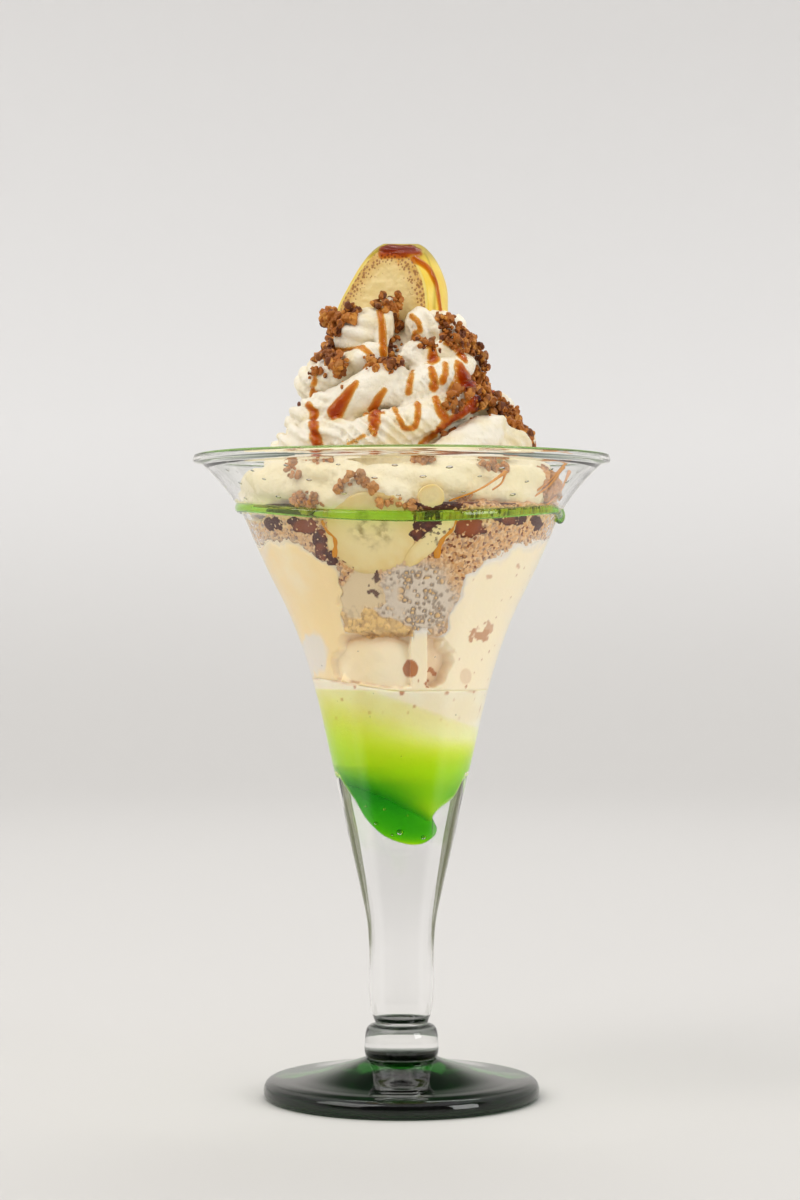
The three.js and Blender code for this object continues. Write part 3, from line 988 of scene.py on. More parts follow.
    def seeds(self) -> list[Skin]:
        """Bubbles in rows in the flared wall, in the green mass and dotted elsewhere.

        Returns:
            A skin for each bubble.
        """
        rng = np.random.default_rng(11)
        made = []
        for row, (height, count) in enumerate(((199.6, 22), (196.2, 20), (191.4, 17))):
            for k in range(count):
                angle = (k + 0.5 * (row % 2) + rng.uniform(-0.16, 0.16)) / count * TURN
                z = height + rng.uniform(-0.7, 0.7)
                radius = float(self.shape.outside(z)) - 1.0
                grow = rng.uniform(0.7, 1.25)
                made.append(self.seed(around(radius, angle, z), np.array([0.95, 0.5, 0.42]) * grow))
        for x, z, size in (
            (-9.4, 94.4, 0.45), (-4.6, 93.6, 0.5), (-10.6, 90.9, 0.4), (-6.4, 89, 0.6), (-0.4, 86.2, 0.95),
            (5.4, 84.5, 0.7), (-2.2, 85.4, 0.4), (1.6, 91.6, 0.3), (9.2, 90.2, 0.3),
        ):
            drift, reach = self.drop_at(z)
            depth = math.sqrt(max(reach**2 - (x - drift) ** 2, 1))
            made.append(self.seed(np.array([x, -max(depth - 1.1, 0.5), z]), np.full(3, size)))
        for _ in range(26):
            angle, z = rng.uniform(-math.pi, math.pi), rng.uniform(104, 150)
            radius = float(self.shape.outside(z)) - 0.9
            grow = rng.uniform(0.5, 1)
            made.append(self.seed(around(radius, angle, z), np.array([0.3, 0.3, 0.36]) * grow))
        return made

    def drop_at(self, z: float) -> Pair:
        """Drift and radius of the green mass's underside at a height."""
        z_of, drift, radius = self.shape.drop(40)[::-1].T
        return float(np.interp(z, z_of, drift)), float(np.interp(z, z_of, radius))

    def green_base(self) -> Piece:
        """The green that fills the drooping mass and thins out up the wall, higher on the left.

        Returns:
            The piece.
        """
        cos, sin = circle(self.sides)
        rings = [
            xyz((r - 0.06) * cos + drift, (r - 0.06) * sin, z + 0.05)
            for z, drift, r in self.shape.drop(48)[::-1]
        ]
        up = np.linspace(105, 131, 40)
        lift = up[:, None] + 9 * (1 + cos[None, :]) * ease(104, 118, up)[:, None]
        thick = through(self.TINT, lift)
        melt = np.where(up < 107, 16.4 + (up - 103) * 0.25, self.shape.cup(up))
        reach = melt[:, None] + np.maximum(thick, -0.3)
        reach = np.minimum(reach, self.shape.outside(up)[:, None] - 0.5)
        rings += list(xyz(reach * cos, reach * sin, up[:, None]))
        down = np.linspace(130.6, 108, 24)[:, None]
        within = self.shape.cup(down) - 1.2
        rings += list(xyz(within * cos, within * sin, down + 0.8))
        return build_piece("green_base_colour", wrap(np.array(rings)))

    def green_trail(self) -> Piece:
        """The thread round the bowl, sunk a little in the wall."""
        angle = np.linspace(-math.pi, math.pi, 420, endpoint=False)
        z, half = self.trail.z(angle), self.trail.thick(angle)
        middle = self.shape.outside(z) + 0.15
        turn = np.arange(14) / 14 * TURN
        radius = middle[:, None] + (half * 0.66)[:, None] * np.cos(turn)
        height = z[:, None] + half[:, None] * np.sin(turn)
        return build_piece("green_trail_glass", ring_skin(around(radius, angle[:, None], height)))

    def lip_thread(self) -> Piece:
        """The fine coloured thread on the crest of the lip."""
        angle = np.linspace(-math.pi, math.pi, 320, endpoint=False)[:, None]
        radius, height, half = self.shape.LIP
        cos, sin = circle(8)
        lift = height + half - 0.2 + 0.42 * sin + 0.06 * np.sin(5 * angle)
        return build_piece("lip_thread_glass", ring_skin(around(radius + 0.4 + 0.6 * cos, angle, lift)))

    def foot(self) -> Piece:
        """The thick dark foot, slightly hollow underneath."""
        under = np.array([(6, 0.55), (20, 0.5), (34, 0.3)])
        top = smooth_path(np.array(self.FOOT), 70)
        crown = np.array([(9, 12.75), (4, 12.8)])
        return build_piece("foot_glass", turned(np.vstack([under, top, crown]), self.sides))

    def weld(self) -> Piece:
        """The foot's darkest glass, in its crown and where it runs up into the bottom of the clear knob."""
        rows = np.array(
            [(7, 8.4), (10.6, 8.8), (12.2, 10.4), (11.2, 12.1), (10.1, 12.6), (10.3, 13), (10.8, 13.5),
             (10.7, 14), (8, 14.2), (3, 14.25)]
        )
        return build_piece("foot_weld", turned(smooth_path(rows, 40), 96))

    def build(self) -> None:
        """Makes and dresses every part of the glass."""
        dress(self.weld(), WELD.make())
        dress(self.clear(), CLEAR_GLASS.make(), ("bowl_and_stem", "stem_knob"))
        dress(self.green_base(), GREEN_IN_GLASS.make(), ("green_base",))
        dress(self.green_trail(), GREEN_THREAD.make(), ("green_trail",))
        dress(self.lip_thread(), LIP_GREEN.make(), ("lip_thread",))
        dress(self.foot(), DARK_GREEN_GLASS.make(), ("foot",))


def smooth_path(knots: Array, count: int) -> Array:
    """Points spaced along a smooth line through knots in any number of dimensions."""
    along = np.concatenate([[0], np.cumsum(np.linalg.norm(np.diff(knots, axis=0), axis=1))])
    at = np.linspace(0, along[-1], count)
    return np.stack([through(tuple(zip(along, column)), at) for column in knots.T], axis=1)


def ring_skin(points: Array) -> Skin:
    """A closed ring from (stations, sides, 3) points that run round an axis.

    Args:
        points: Stations counter-clockwise seen from above; sides turn outward, up, inward, down.

    Returns:
        The closed skin, facing out.
    """
    stations, sides, _ = points.shape
    row, side = np.meshgrid(np.arange(stations), np.arange(sides), indexing="ij")
    after, beside = (row + 1) % stations, (side + 1) % sides
    corners = [row * sides + side, after * sides + side, after * sides + beside, row * sides + beside]
    quads = np.stack(corners, axis=-1).reshape(-1, 4).tolist()
    return Skin(points.reshape(-1, 3), [tuple(q) for q in quads])


# ---- the filling


@dataclass
class WallGrid:
    """A grid over the inside of the glass wall, closed towards the axis into a solid.

    Sides are closer together at the front. Angles are 0 at the front and climb to the right.
    """

    low: float
    high: float
    rows: int
    sides: int
    shape: Trumpet
    front: float = 0.5

    def __post_init__(self) -> None:
        """Works out where each point of the grid lies."""
        turn = np.linspace(-math.pi, math.pi, self.sides, endpoint=False)
        angle = turn - self.front * np.sin(turn)
        z = np.linspace(self.low, self.high, self.rows)
        self.angle, self.z = np.meshgrid(angle, z)
        self.wall = self.shape.inside(self.z)
        self.x = self.wall * np.sin(self.angle)
        self.facing = np.cos(self.angle)
        self.places = around(self.wall, self.angle, self.z).reshape(-1, 3)

    def noise(self, size: float, seed: int, octaves: int = 2) -> Array:
        """Smooth noise over the grid."""
        return cloud(self.places, size, seed, octaves).reshape(self.z.shape)

    def grain(self, size: float, seed: int) -> Array:
        """Distance to the nearest grain over the grid."""
        return grains(self.places, size, seed).reshape(self.z.shape)

    def spot(
        self, middle: Pair, half: Pair, power: float = 2, back: float = 0.0
    ) -> Array:
        """A patch on the wall: 1 at its middle, 0 at its edge, negative outside.

        Args:
            middle: How far right of the middle and how high it lies, in mm.
            half: Half its width and half its height, in mm.
            power: 2 for an oval; more for a squarer patch.
            back: Angle of the side that it is on, 0 for the front.

        Returns:
            One value for each point of the grid.
        """
        across = (self.wall * np.sin(self.angle - back) - middle[0]) / half[0]
        up = (self.z - middle[1]) / half[1]
        value = 1 - (np.abs(across) ** power + np.abs(up) ** power) ** (1 / power)
        return np.where(np.cos(self.angle - back) > 0, value, -4)

    def skin(self, reach: Array) -> Skin:
        """The closed solid whose points go past the wall's inner surface by reach, in mm."""
        return wrap(around(self.wall + reach, self.angle, self.z))

    def write(self, piece: Piece, name: str, values: Array) -> None:
        """Writes a number on each point of the piece made from this grid."""
        note(piece, name, np.concatenate([np.clip(values, 0, 1).ravel(), [0, 0]]))


@dataclass
class Layers:
    """Where the layers of the filling meet on the glass, shared by the pieces that show there."""

    shape: Trumpet

    FRONT = (  # from the left, where the crumb's lower border lies, in mm
        (-48, 176.5), (-39.3, 177.4), (-31.7, 176.2), (-27, 173.6), (-23, 170.8), (-18.9, 167.4),
        (-18.4, 153.4), (-17, 149), (-13, 147), (2.6, 146.9), (3.4, 149.6), (7.4, 149.8), (8.2, 147.4),
        (12, 148.2), (14.4, 152), (17.4, 159), (21.1, 166.2), (24.5, 170.7), (34.7, 175.4), (43.5, 178.2),
        (48, 179.2),
    )
    BACK = (  # by angle from the front, in degrees
        (-180, 167), (-165, 158), (-150, 152), (-138, 165), (-120, 174), (-90, 176.5), (90, 179),
        (110, 173), (125, 164), (140, 160), (155, 169), (168, 171), (180, 167),
    )

    def border(self, grid: WallGrid) -> Array:
        """Height of the crumb's lower border at each point of a grid."""
        aside = grid.x + 1.5 * grid.noise(5, 24, 2)
        front = np.interp(aside, *np.array(self.FRONT).T)
        back = through(self.BACK, np.degrees(grid.angle))
        return np.where(grid.facing > 0, front, back)

    def above(self, grid: WallGrid) -> Array:
        """How far each point of a grid is above the ragged border, in mm."""
        ragged = 0.9 * grid.noise(5, 21, 3) + 0.5 * grid.noise(1.6, 22, 1)
        return grid.z - self.border(grid) + ragged

    def scoop(self, grid: WallGrid) -> Array:
        """1 where a ball of ice cream sits back from the glass, 0 outside it."""
        patch = grid.spot((-3, 140.6), (17.4, 8.8), 3.4) + 0.1 * grid.noise(4, 32, 2)
        column = grid.spot((5.4, 141), (2.7, 14), 2.4) + 0.1 * grid.noise(3, 33, 2)
        return ease(-0.02, 0.07, patch) * (1 - ease(-0.1, 0.1, column))

    def bay(self, grid: WallGrid) -> Array:
        """1 in the smooth hollow beside the crumb, 0 outside it."""
        return ease(-0.02, 0.1, grid.spot((-13, 162.6), (6.4, 7.2), 2.2) + 0.34 * grid.noise(4.4, 34, 3))

    def pockets(self, grid: WallGrid) -> Array:
        """Depth in mm of the places where nothing touches the glass.

        Args:
            grid: Grid on the glass's inner wall.

        Returns:
            Depth at each point of the grid.
        """
        ragged = 0.16 * grid.noise(3, 31, 3)
        ball = 1 - ((grid.x + 8.5) / 17) ** 2 - ((grid.z - 137.4) / 11) ** 2
        depth = self.scoop(grid) * (0.8 + 3.6 * (1 - np.sqrt(np.clip(ball, 0, 1))))
        depth = np.maximum(depth, 0.7 * self.bay(grid))
        for patch, deep in (
            (grid.spot((8, 150), (7, 9), 2.6, math.radians(150)), 3.6),
            (grid.spot((-6, 141), (12, 6), 3, math.radians(-140)), 3.2),
            (grid.spot((0, 163), (7, 6), 2.4, math.radians(115)), 3),
        ):
            depth = np.maximum(depth, deep * ease(-0.02, 0.4, patch + ragged))
        return depth


@dataclass
class Filling:
    """Everything between the cream and the green base, pressed against the glass."""

    shape: Trumpet

    def __post_init__(self) -> None:
        """Shares one set of borders among the layers."""
        self.layers = Layers(self.shape)

    def meniscus(self, grid: WallGrid) -> Array:
        """Height of the melted ice cream's top at the glass."""
        return 131 + 3.6 * ease(2, -28, grid.x) + 0.25 * grid.noise(7, 41)

    def melted(self) -> Piece:
        """Melted ice cream in the green base.

        Returns:
            The piece.
        """
        grid = WallGrid(89.8, 136.6, 96, 300, self.shape, 0.3)
        level = self.meniscus(grid)
        over = ease(-0.3, 0.9, grid.z - level)
        out = np.where(grid.z < 131, self.shape.cup(grid.z), grid.wall + 0.3)
        out -= (1.6 + 1.3 * self.layers.pockets(grid)) * over
        out -= 0.35 * np.exp(-(((grid.z - level) / 0.5) ** 2))
        tip = np.array(self.shape.TIP)
        drift, wide, deep = (through(tuple(zip(tip[:, 0], tip[:, k])), grid.z) for k in (1, 2, 3))
        low = grid.z < 107.0
        wide, deep, drift = (np.where(low, a, b) for a, b in ((wide, out), (deep, out), (drift, 0)))
        rings = xyz(drift + wide * np.sin(grid.angle), -deep * np.cos(grid.angle), grid.z)
        piece = build_piece("melted_ice_cream_pool", wrap(rings))
        # painted shade: a dark brown line just under the meniscus, in its groove, written with the flecks
        line = np.exp(-(((grid.z - level + 0.3) / 0.35) ** 2)) * ease(0.1, -0.2, grid.noise(9, 43, 1))
        bits = ease(0.62, 0.85, grid.noise(2, 42, 1)) * ease(118, 130, grid.z)
        grid.write(piece, "fleck", 0.6 * line + 0.8 * bits)
        grid.write(piece, "milk", ease(126, 132, grid.z) * 0.25)
        grid.write(piece, "warm", ease(112, 124, grid.z))
        return dress(piece, MELTED.make(), ("melted_ice_cream",))

    def ice_cream(self) -> Piece:
        """Scooped ice cream packed against the wall, with pockets and stray crumbs.

        Returns:
            The piece.
        """
        grid = WallGrid(127.5, 184, 140, 640, self.shape)
        above = self.layers.above(grid)
        hidden = ease(0.4, 2.4, above)
        hole = self.layers.pockets(grid)
        scoop = self.layers.scoop(grid)
        reach = 0.3 - 3.2 * hidden - hole + 0.45 * scoop * grid.noise(7, 51, 2)
        reach -= 1.4 * ease(0.3, -1.2, grid.z - self.meniscus(grid)) * (1 - scoop)
        reach -= 0.35 * np.exp(-((above / 0.5) ** 2))
        piece = build_piece("vanilla_ice_cream", grid.skin(reach))
        spots = (
            (grid.spot((23.8, 147.8), (3.4, 3.2)), 0.75), (grid.spot((26.4, 150.8), (1.6, 3.4)), 0.6),
            (grid.spot((26.2, 166.8), (1.3, 1.1)), 0.5), (grid.spot((35.4, 170), (1, 1.5)), 0.5),
            (grid.spot((10.9, 136.6), (3, 2.4)), 0.95), (grid.spot((8.4, 133.4), (4, 1.6)), 0.9),
        )
        fleck = ease(0.95, 1.15, grid.noise(2.2, 52, 2)) * ease(14, 20, grid.x) * 0.7
        fleck = np.maximum(fleck, ease(1.12, 1.3, grid.noise(2, 56, 2)) * (grid.facing < 0.2))
        rough = grid.noise(1.7, 53, 2)
        for patch, strength in spots:
            fleck = np.maximum(fleck, strength * ease(0, 0.25, patch - 0.55 + 0.6 * rough + 0.25))
        disc = grid.spot((2.7, 137.9), (2.3, 2.8))
        fleck = np.maximum(fleck, 0.95 * ease(-0.05, 0.12, disc + 0.1 * rough))
        # soaked brown and painted shade over the scoop's top, under the sponge, and its right side
        soak_and_shade = scoop * np.maximum(ease(143, 149, grid.z), 0.8 * ease(8, 10, grid.x))
        tan = ease(-0.05, 0.2, grid.spot((19.4, 135.3), (1.9, 2.7)))
        fleck = np.maximum(fleck, 0.26 * np.maximum(soak_and_shade, tan))
        # painted shade: a dark line along the meniscus under the scoop
        edge = ease(0.9, 0, np.abs(grid.z - self.meniscus(grid) - 0.4)) * scoop
        grid.write(piece, "fleck", np.maximum(fleck, 0.6 * edge))
        grid.write(piece, "warm", ease(2, -14, grid.x) * (1 - 0.5 * scoop))
        air = ease(-0.1, 0.2, grid.spot((-26.6, 142.4), (4, 7.6), 2.6) + 0.2 * grid.noise(4, 57, 2))
        streak = ease(2.5, 0, np.abs(grid.x + 43.2 - (grid.z - 171) * 0.33)) * (grid.facing > 0)
        milk = 0.9 * ease(-2.6, 0.2, above) * (grid.x > 4) + 0.5 * ease(-1.2, 0.4, above)
        grid.write(piece, "milk", np.maximum(np.maximum(milk, air), 0.5 * streak) * (1 - scoop))
        return dress(piece, ICE_CREAM.make(), ("ice_cream",))

    def crumb(self) -> Piece:
        """Biscuit crumb soaked in melted ice cream, with larger crumbs like rings on the glass.

        Returns:
            The piece.
        """
        grid = WallGrid(141, 190.4, 130, 760, self.shape)
        above = self.layers.above(grid)
        soaked = ease(-0.15, 0.35, grid.spot((4, 158.6), (14.5, 13.5)) + 0.12 * grid.noise(5, 61))
        back_soak = ease(0.2, 0.7, grid.noise(16, 62, 2)) * (grid.facing < 0.3)
        soaked = np.maximum(soaked, back_soak * ease(174, 166, grid.z))
        slope = 157 - 0.42 * np.maximum(grid.x + 12, 0) - grid.z + 1.2 * grid.noise(3, 63, 2)
        sponge = ease(-0.6, 0.6, slope) * ease(4.6, 2.6, grid.x) * ease(-26, -20, grid.x)
        bay = self.layers.bay(grid)
        small, middle, large = grid.grain(1.15, 64), grid.grain(1.9, 69), grid.grain(3.3, 65)
        open_milk = ease(-0.7, -0.1, grid.noise(7, 66, 1) + 0.08 * (grid.x - 1))
        some = (grid.noise(6, 70, 1) > -0.1) * soaked * ease(-2, 1, grid.x)
        rings = some * ease(0.27, 0.33, large) * ease(0.46, 0.38, large)
        within = some * ease(0.46, 0.4, large)
        few = soaked * open_milk * (1 - within)
        rings = np.maximum(rings, 0.85 * few * ease(0.26, 0.32, middle) * ease(0.5, 0.43, middle))
        pale = np.maximum(within, few * ease(0.34, 0.26, middle)) * (1 - rings)
        relief = -0.7 * ease(0.4, 0.75, small)
        lumps = -0.8 * ease(0.35, 0.8, grid.grain(1.9, 67)) + 0.3 * grid.noise(2.4, 68, 2)
        relief = relief * (1 - soaked) - 0.8 * rings * soaked
        relief = (relief * (1 - sponge) + lumps * sponge) * (1 - bay)
        shown = ease(-0.2, 0.5, above)
        crest = 188.6 + 1.3 * grid.noise(5, 78, 2) - 3.2 * ease(-14, -20, grid.x) * (grid.facing > 0)
        reach = 0.3 + relief - 1.8 * (1 - shown) - self.layers.pockets(grid) * 1.1
        reach -= 7 * ease(-0.4, 3, grid.z - crest)
        piece = build_piece("soaked_biscuit_crumb", grid.skin(reach))
        left = ease(-14, -30, grid.x) * (grid.facing > 0)
        gaps = ease(0.5, 0.78, small)
        milk = 0.15 * left + 0.1 * gaps + 0.35 * ease(2.5, 0.2, above)
        milk = np.maximum(milk, soaked * (0.95 - 0.7 * pale))
        bits = grid.spot((-8.2, 163.8), (2, 4.6)) - 0.3 + 0.75 * grid.noise(1.5, 77, 2)
        # painted shade along the crease at the crumb's lower border on the left
        border_shade = np.exp(-(((above - 0.4) / 0.5) ** 2)) * ease(-16, -22, grid.x) * (grid.facing > 0)
        grid.write(piece, "milk", milk * (1 - sponge) * (1 - bay))
        grid.write(piece, "sponge", np.maximum(sponge, 0.55 * pale * soaked) * (1 - bay))
        # the bay is painted as ice cream in the shade of its hollow
        grid.write(piece, "bay", bay)
        # painted shade in the ring grooves, the gaps between grains, the sponge's hollows and the border's
        # crease, with real dark bits of crumb
        groove = np.maximum(rings * 0.42, 0.5 * ease(0.6, 0.85, small) * (1 - soaked) * (1 - bay))
        groove = np.maximum(groove, 0.22 * sponge * ease(0.1, -0.6, lumps + 0.2))
        grid.write(piece, "groove", np.maximum(np.maximum(groove, 0.7 * border_shade), ease(0, 0.2, bits)))
        return dress(piece, PRESSED_CRUMB.make(), ("biscuit_crumb",))

    def toffee(self) -> Piece:
        """Dark toffee that sank in patches into the top of the crumb.

        Returns:
            The piece.
        """
        grid = WallGrid(170, 189.2, 60, 760, self.shape)
        ragged = 0.34 * grid.noise(3.2, 71, 3)
        patches = [
            grid.spot((-39.2, 183), (3.6, 2.2)), grid.spot((-33, 183.4), (3, 1.4)),
            grid.spot((-28.6, 182), (5.2, 2.6)), grid.spot((-24.6, 176.8), (2.3, 5.4)),
            grid.spot((-20.8, 171.6), (1.4, 3.2)), grid.spot((8.8, 180.8), (6.4, 4.4)),
            grid.spot((20.4, 181.6), (5, 3.2)), grid.spot((33, 184.6), (6, 1.9)),
            grid.spot((41, 183.6), (2.4, 2.4)), grid.spot((9, 187.2), (9.6, 1.7)),
        ]
        for k in range(9):
            middle, half = (0, 181.6 + 1.6 * math.sin(k * 2.1)), (6.5, 3.2 + math.cos(k))
            patches.append(grid.spot(middle, half, 2, math.radians(105 + k * 19)))
        cover_value = np.max(patches, axis=0) + ragged
        reach = 0.34 - 1.6 * ease(0.12, -0.1, cover_value)
        reach -= 0.12 * ease(0.5, 0.8, grid.grain(1.6, 72))
        piece = build_piece("dark_toffee", grid.skin(reach))
        # painted glow: patches where the toffee is painted lighter red-amber, as if light shone through it,
        # written as less depth
        glow = ease(-0.1, 0.5, grid.spot((20.4, 181.8), (5.6, 3.8)) + 0.35 * grid.noise(3, 73, 2))
        glow = np.maximum(glow, 0.7 * ease(0, 0.4, grid.spot((-28.6, 182), (4.6, 2.4)) + 0.1))
        glow = np.maximum(glow, 0.6 * ease(0.2, 0.8, grid.noise(4, 74, 2)))
        grid.write(piece, "depth", 1 - 0.85 * glow)
        return dress(piece, TOFFEE.make(), ("toffee",))

    def build(self) -> None:
        """Makes and dresses every layer."""
        for make in (self.melted, self.ice_cream, self.crumb, self.toffee):
            make()


# ---- banana


@dataclass(frozen=True)
class WallPatch:
    """Something pressed flat to the inside of the wall, by right and height in mm.

    turn is how far it is turned on the glass and back is the side that it is on, both in degrees.
    """

    middle: Pair
    half: Pair
    turn: float = 0.0
    power: float = 2.0
    back: float = 0.0

    def on_wall(self, shape: Trumpet, right: Array, up: Array, reach: Array | float) -> Array:
        """Points on the wall at distances from the patch's middle.

        Args:
            shape: The glass.
            right: Distances along the patch's first half width.
            up: Distances along its second.
            reach: How far past the wall's inner surface each point lies.

        Returns:
            (..., 3) array of points.
        """
        cos, sin = math.cos(math.radians(self.turn)), math.sin(math.radians(self.turn))
        x = self.middle[0] + right * cos - up * sin
        z = self.middle[1] + right * sin + up * cos
        radius = shape.inside(z)
        angle = np.arcsin(np.clip(x / radius, -1, 1)) + math.radians(self.back)
        return around(radius + reach, angle, z)

    def slab(self, shape: Trumpet, thick: float, sides: int = 120) -> tuple[Skin, Array]:
        """A closed slab under the patch, and each point's share of the way out from its middle.

        Args:
            shape: The glass.
            thick: How far the slab goes in from the wall.
            sides: Points round its edge.

        Returns:
            The skin and the shares.
        """
        share = np.concatenate([np.linspace(0.04, 0.9, 22), [0.94, 0.97, 0.99, 1]])
        sink = np.concatenate([np.zeros(22), [0.1, 0.3, 0.6, 1.1]])
        share = np.concatenate([share, [1, 0.99], share[::-1]])
        sink = np.concatenate([sink, [thick * 0.4, thick * 0.7], np.maximum(thick - sink[::-1], thick * 0.8)])
        angle = np.arange(sides) / sides * TURN
        cos, sin = np.cos(angle), np.sin(angle)
        edge = (np.abs(cos) ** self.power + np.abs(sin) ** self.power) ** (-1 / self.power)
        edge = edge * (1 + 0.018 * np.cos(3 * angle + self.middle[1]) + 0.012 * np.cos(7 * angle))
        right = self.half[0] * share[:, None] * (edge * cos)
        up = self.half[1] * share[:, None] * (edge * sin)
        rings = self.on_wall(shape, right, up, 0.34 - sink[:, None] * np.ones_like(right))
        return wrap(rings[::-1]), np.append(np.repeat(share[::-1], sides), [0, 0])


@dataclass(frozen=True)
class BananaSlice:
    """A thick round of peeled banana pressed to the glass, seen from its face or its edge."""

    node: str
    patch: WallPatch
    thick: float = 6.0
    seeds: float = 1.0

    def build(self, shape: Trumpet, material: Material) -> Piece:
        """Makes and dresses the slice.

        Args:
            shape: Sizes of the glass that the slice lies against.
            material: What dresses it.

        Returns:
            The piece.
        """
        skin, out = self.patch.slab(shape, self.thick)
        piece = build_piece(self.node + "_cut", skin)
        patchy = cloud(skin.points, 3, 82, 2)
        core = ease(0.62, 0.2, np.abs(out - 0.24 - 0.09 * patchy) * 2.2) * (0.4 + 0.6 * patchy) * self.seeds
        note(piece, "core", np.clip(core, 0, 1))
        note(piece, "rim", np.zeros(len(out)))
        note(piece, "flush", np.clip(ease(0.4, 1, out) * (0.6 + 0.5 * patchy), 0, 1))
        return dress(piece, material, (self.node,))


SLICES = (
    BananaSlice("banana_slice_front", WallPatch((-9.2, 179.9), (14, 12.5), 0, 2.1)),
    BananaSlice("banana_slice_front_right", WallPatch((8.6, 177), (10.6, 2.9), 42, 2.8), 5, 0),
    BananaSlice("banana_slice_upper", WallPatch((8.9, 190.6), (4, 3.6), 20, 2.2), 4, 0.3),
    BananaSlice("banana_slice_back_left", WallPatch((0, 180.4), (13.4, 12.6), back=-146)),
    BananaSlice("banana_slice_back_right", WallPatch((0, 181.2), (13, 12.2), back=135)),
)


@dataclass
class BananaEnd:
    """The end of an unpeeled banana, cut on a long slant and blunt at its tip."""

    SECTION = (
        (236, 18.2), (244, 18.2), (251, 17.9), (257, 16.6), (262.6, 14.4), (267, 12), (270, 9.7),
        (272, 7.4), (273.1, 5.4),
    )
    LEAN = ((236, -3.4), (246, -3.2), (252.9, -2.4), (259, -1.1), (267, -0.3), (272, -0.1))
    SLANT = ((8.3, -15.2, 252.9), (-0.46, -0.885, 0.061))
    BLUNT = ((0, -11.2, 268.4), (0.02, -0.42, 0.905))

    def body(self, inset: float, lifts: Pair) -> tuple[Skin, Array, Array]:
        """The end's skin, set in by some millimetres and with its cuts lifted.

        Args:
            inset: How far the sides lie inside the peel.
            lifts: How far the slant and the blunt cut lie outside the peel's.

        Returns:
            The skin, each point's depth cut away, and its nearness to an angle of the peel.
        """
        z = np.linspace(236.5, 273, 130)
        angle = np.arange(260) / 260 * TURN
        radius = through(self.SECTION, z) - inset
        bend = np.abs(np.cos(2.5 * angle + 0.4)) ** 0.8
        corner = 1 + 0.06 * (0.62 - bend)
        reach = radius[:, None] * corner
        lean = through(self.LEAN, z)
        skin = wrap(xyz(reach * np.cos(angle) + lean[:, None], reach * np.sin(angle) - 1, z[:, None]))
        taken = np.zeros(len(skin.points))
        for (middle, normal), lift in zip((self.SLANT, self.BLUNT), lifts):
            normal = np.array(normal) / np.linalg.norm(normal)
            past = (skin.points - np.array(middle)) @ normal - lift
            skin.points = skin.points - np.maximum(past, 0)[:, None] * normal
            taken = np.maximum(taken, past) if lift > 0 or not inset else taken
        ridge = np.append(np.tile(1 - bend, len(z)), [0, 0])
        return skin, taken, ridge

    def build(self) -> Piece:
        """Makes and dresses the peel and the flesh; the peel comes back, as caramel is laid on it.

        Returns:
            The piece.
        """
        skin, taken, ridge = self.body(0, (0, 0))
        peel = build_piece("banana_end_peel", skin)
        height = skin.points[:, 2]
        note(peel, "cut", ease(0, 0.5, taken) * ease(268.4, 267.4, height) * 0.9)
        olive = 0.6 * ease(0.75, 1, ridge) + ease(264, 271, height)
        note(peel, "ridge", np.clip(olive, 0, 1))
        dress(peel, PEEL.make(), ("banana_tip_peel",))
        skin, taken, _ = self.body(0.8, (0.3, -0.7))
        rough = 0.16 * cloud(skin.points, 2, 91, 2)
        skin.points = skin.points + rough[:, None] * np.array(self.SLANT[1])
        flesh = build_piece("banana_end_flesh", skin)
        note(flesh, "rim", 0.56 * ease(7.6, 1.4, taken))
        note(flesh, "core", np.zeros(len(taken)))
        note(flesh, "flush", ease(6, 0.8, taken))
        dress(flesh, TIP_FLESH.make(), ("banana_tip_flesh",))
        return peel


# ---- whipped cream


@dataclass(frozen=True)
class Rope:
    """One squeeze of the star nozzle, laid round the swirl from its left end to its right.

    Angles are in degrees from the front, climbing to the right; the rest is in mm.
    """

    start: float
    end: float
    low: float
    high: float
    out_start: float
    out_end: float
    thick: float
    depth: float = 0.3
    twist: float = 0.8
    flutes: int = 7

    def skin(self) -> Skin:
        """The rope's closed skin, tapered at both ends."""
        share = np.linspace(0, 1, 60)
        angle = np.radians(self.start + (self.end - self.start) * share)
        reach = self.out_start + (self.out_end - self.out_start) * share
        height = self.low + (self.high - self.low) * (0.6 * share + 0.4 * ease(0, 1, share))
        swell = 1 + 0.07 * np.sin(9 * share + self.start)
        across = self.thick * (0.3 + 0.7 * np.sin(np.pi * np.clip(share, 0.02, 0.97)) ** 0.55) * swell
        path, outward = around(reach, angle, height), around(1, angle, 0.25)
        return tube(path, across, self.flutes, self.depth, self.twist, 56, 1.12, outward)


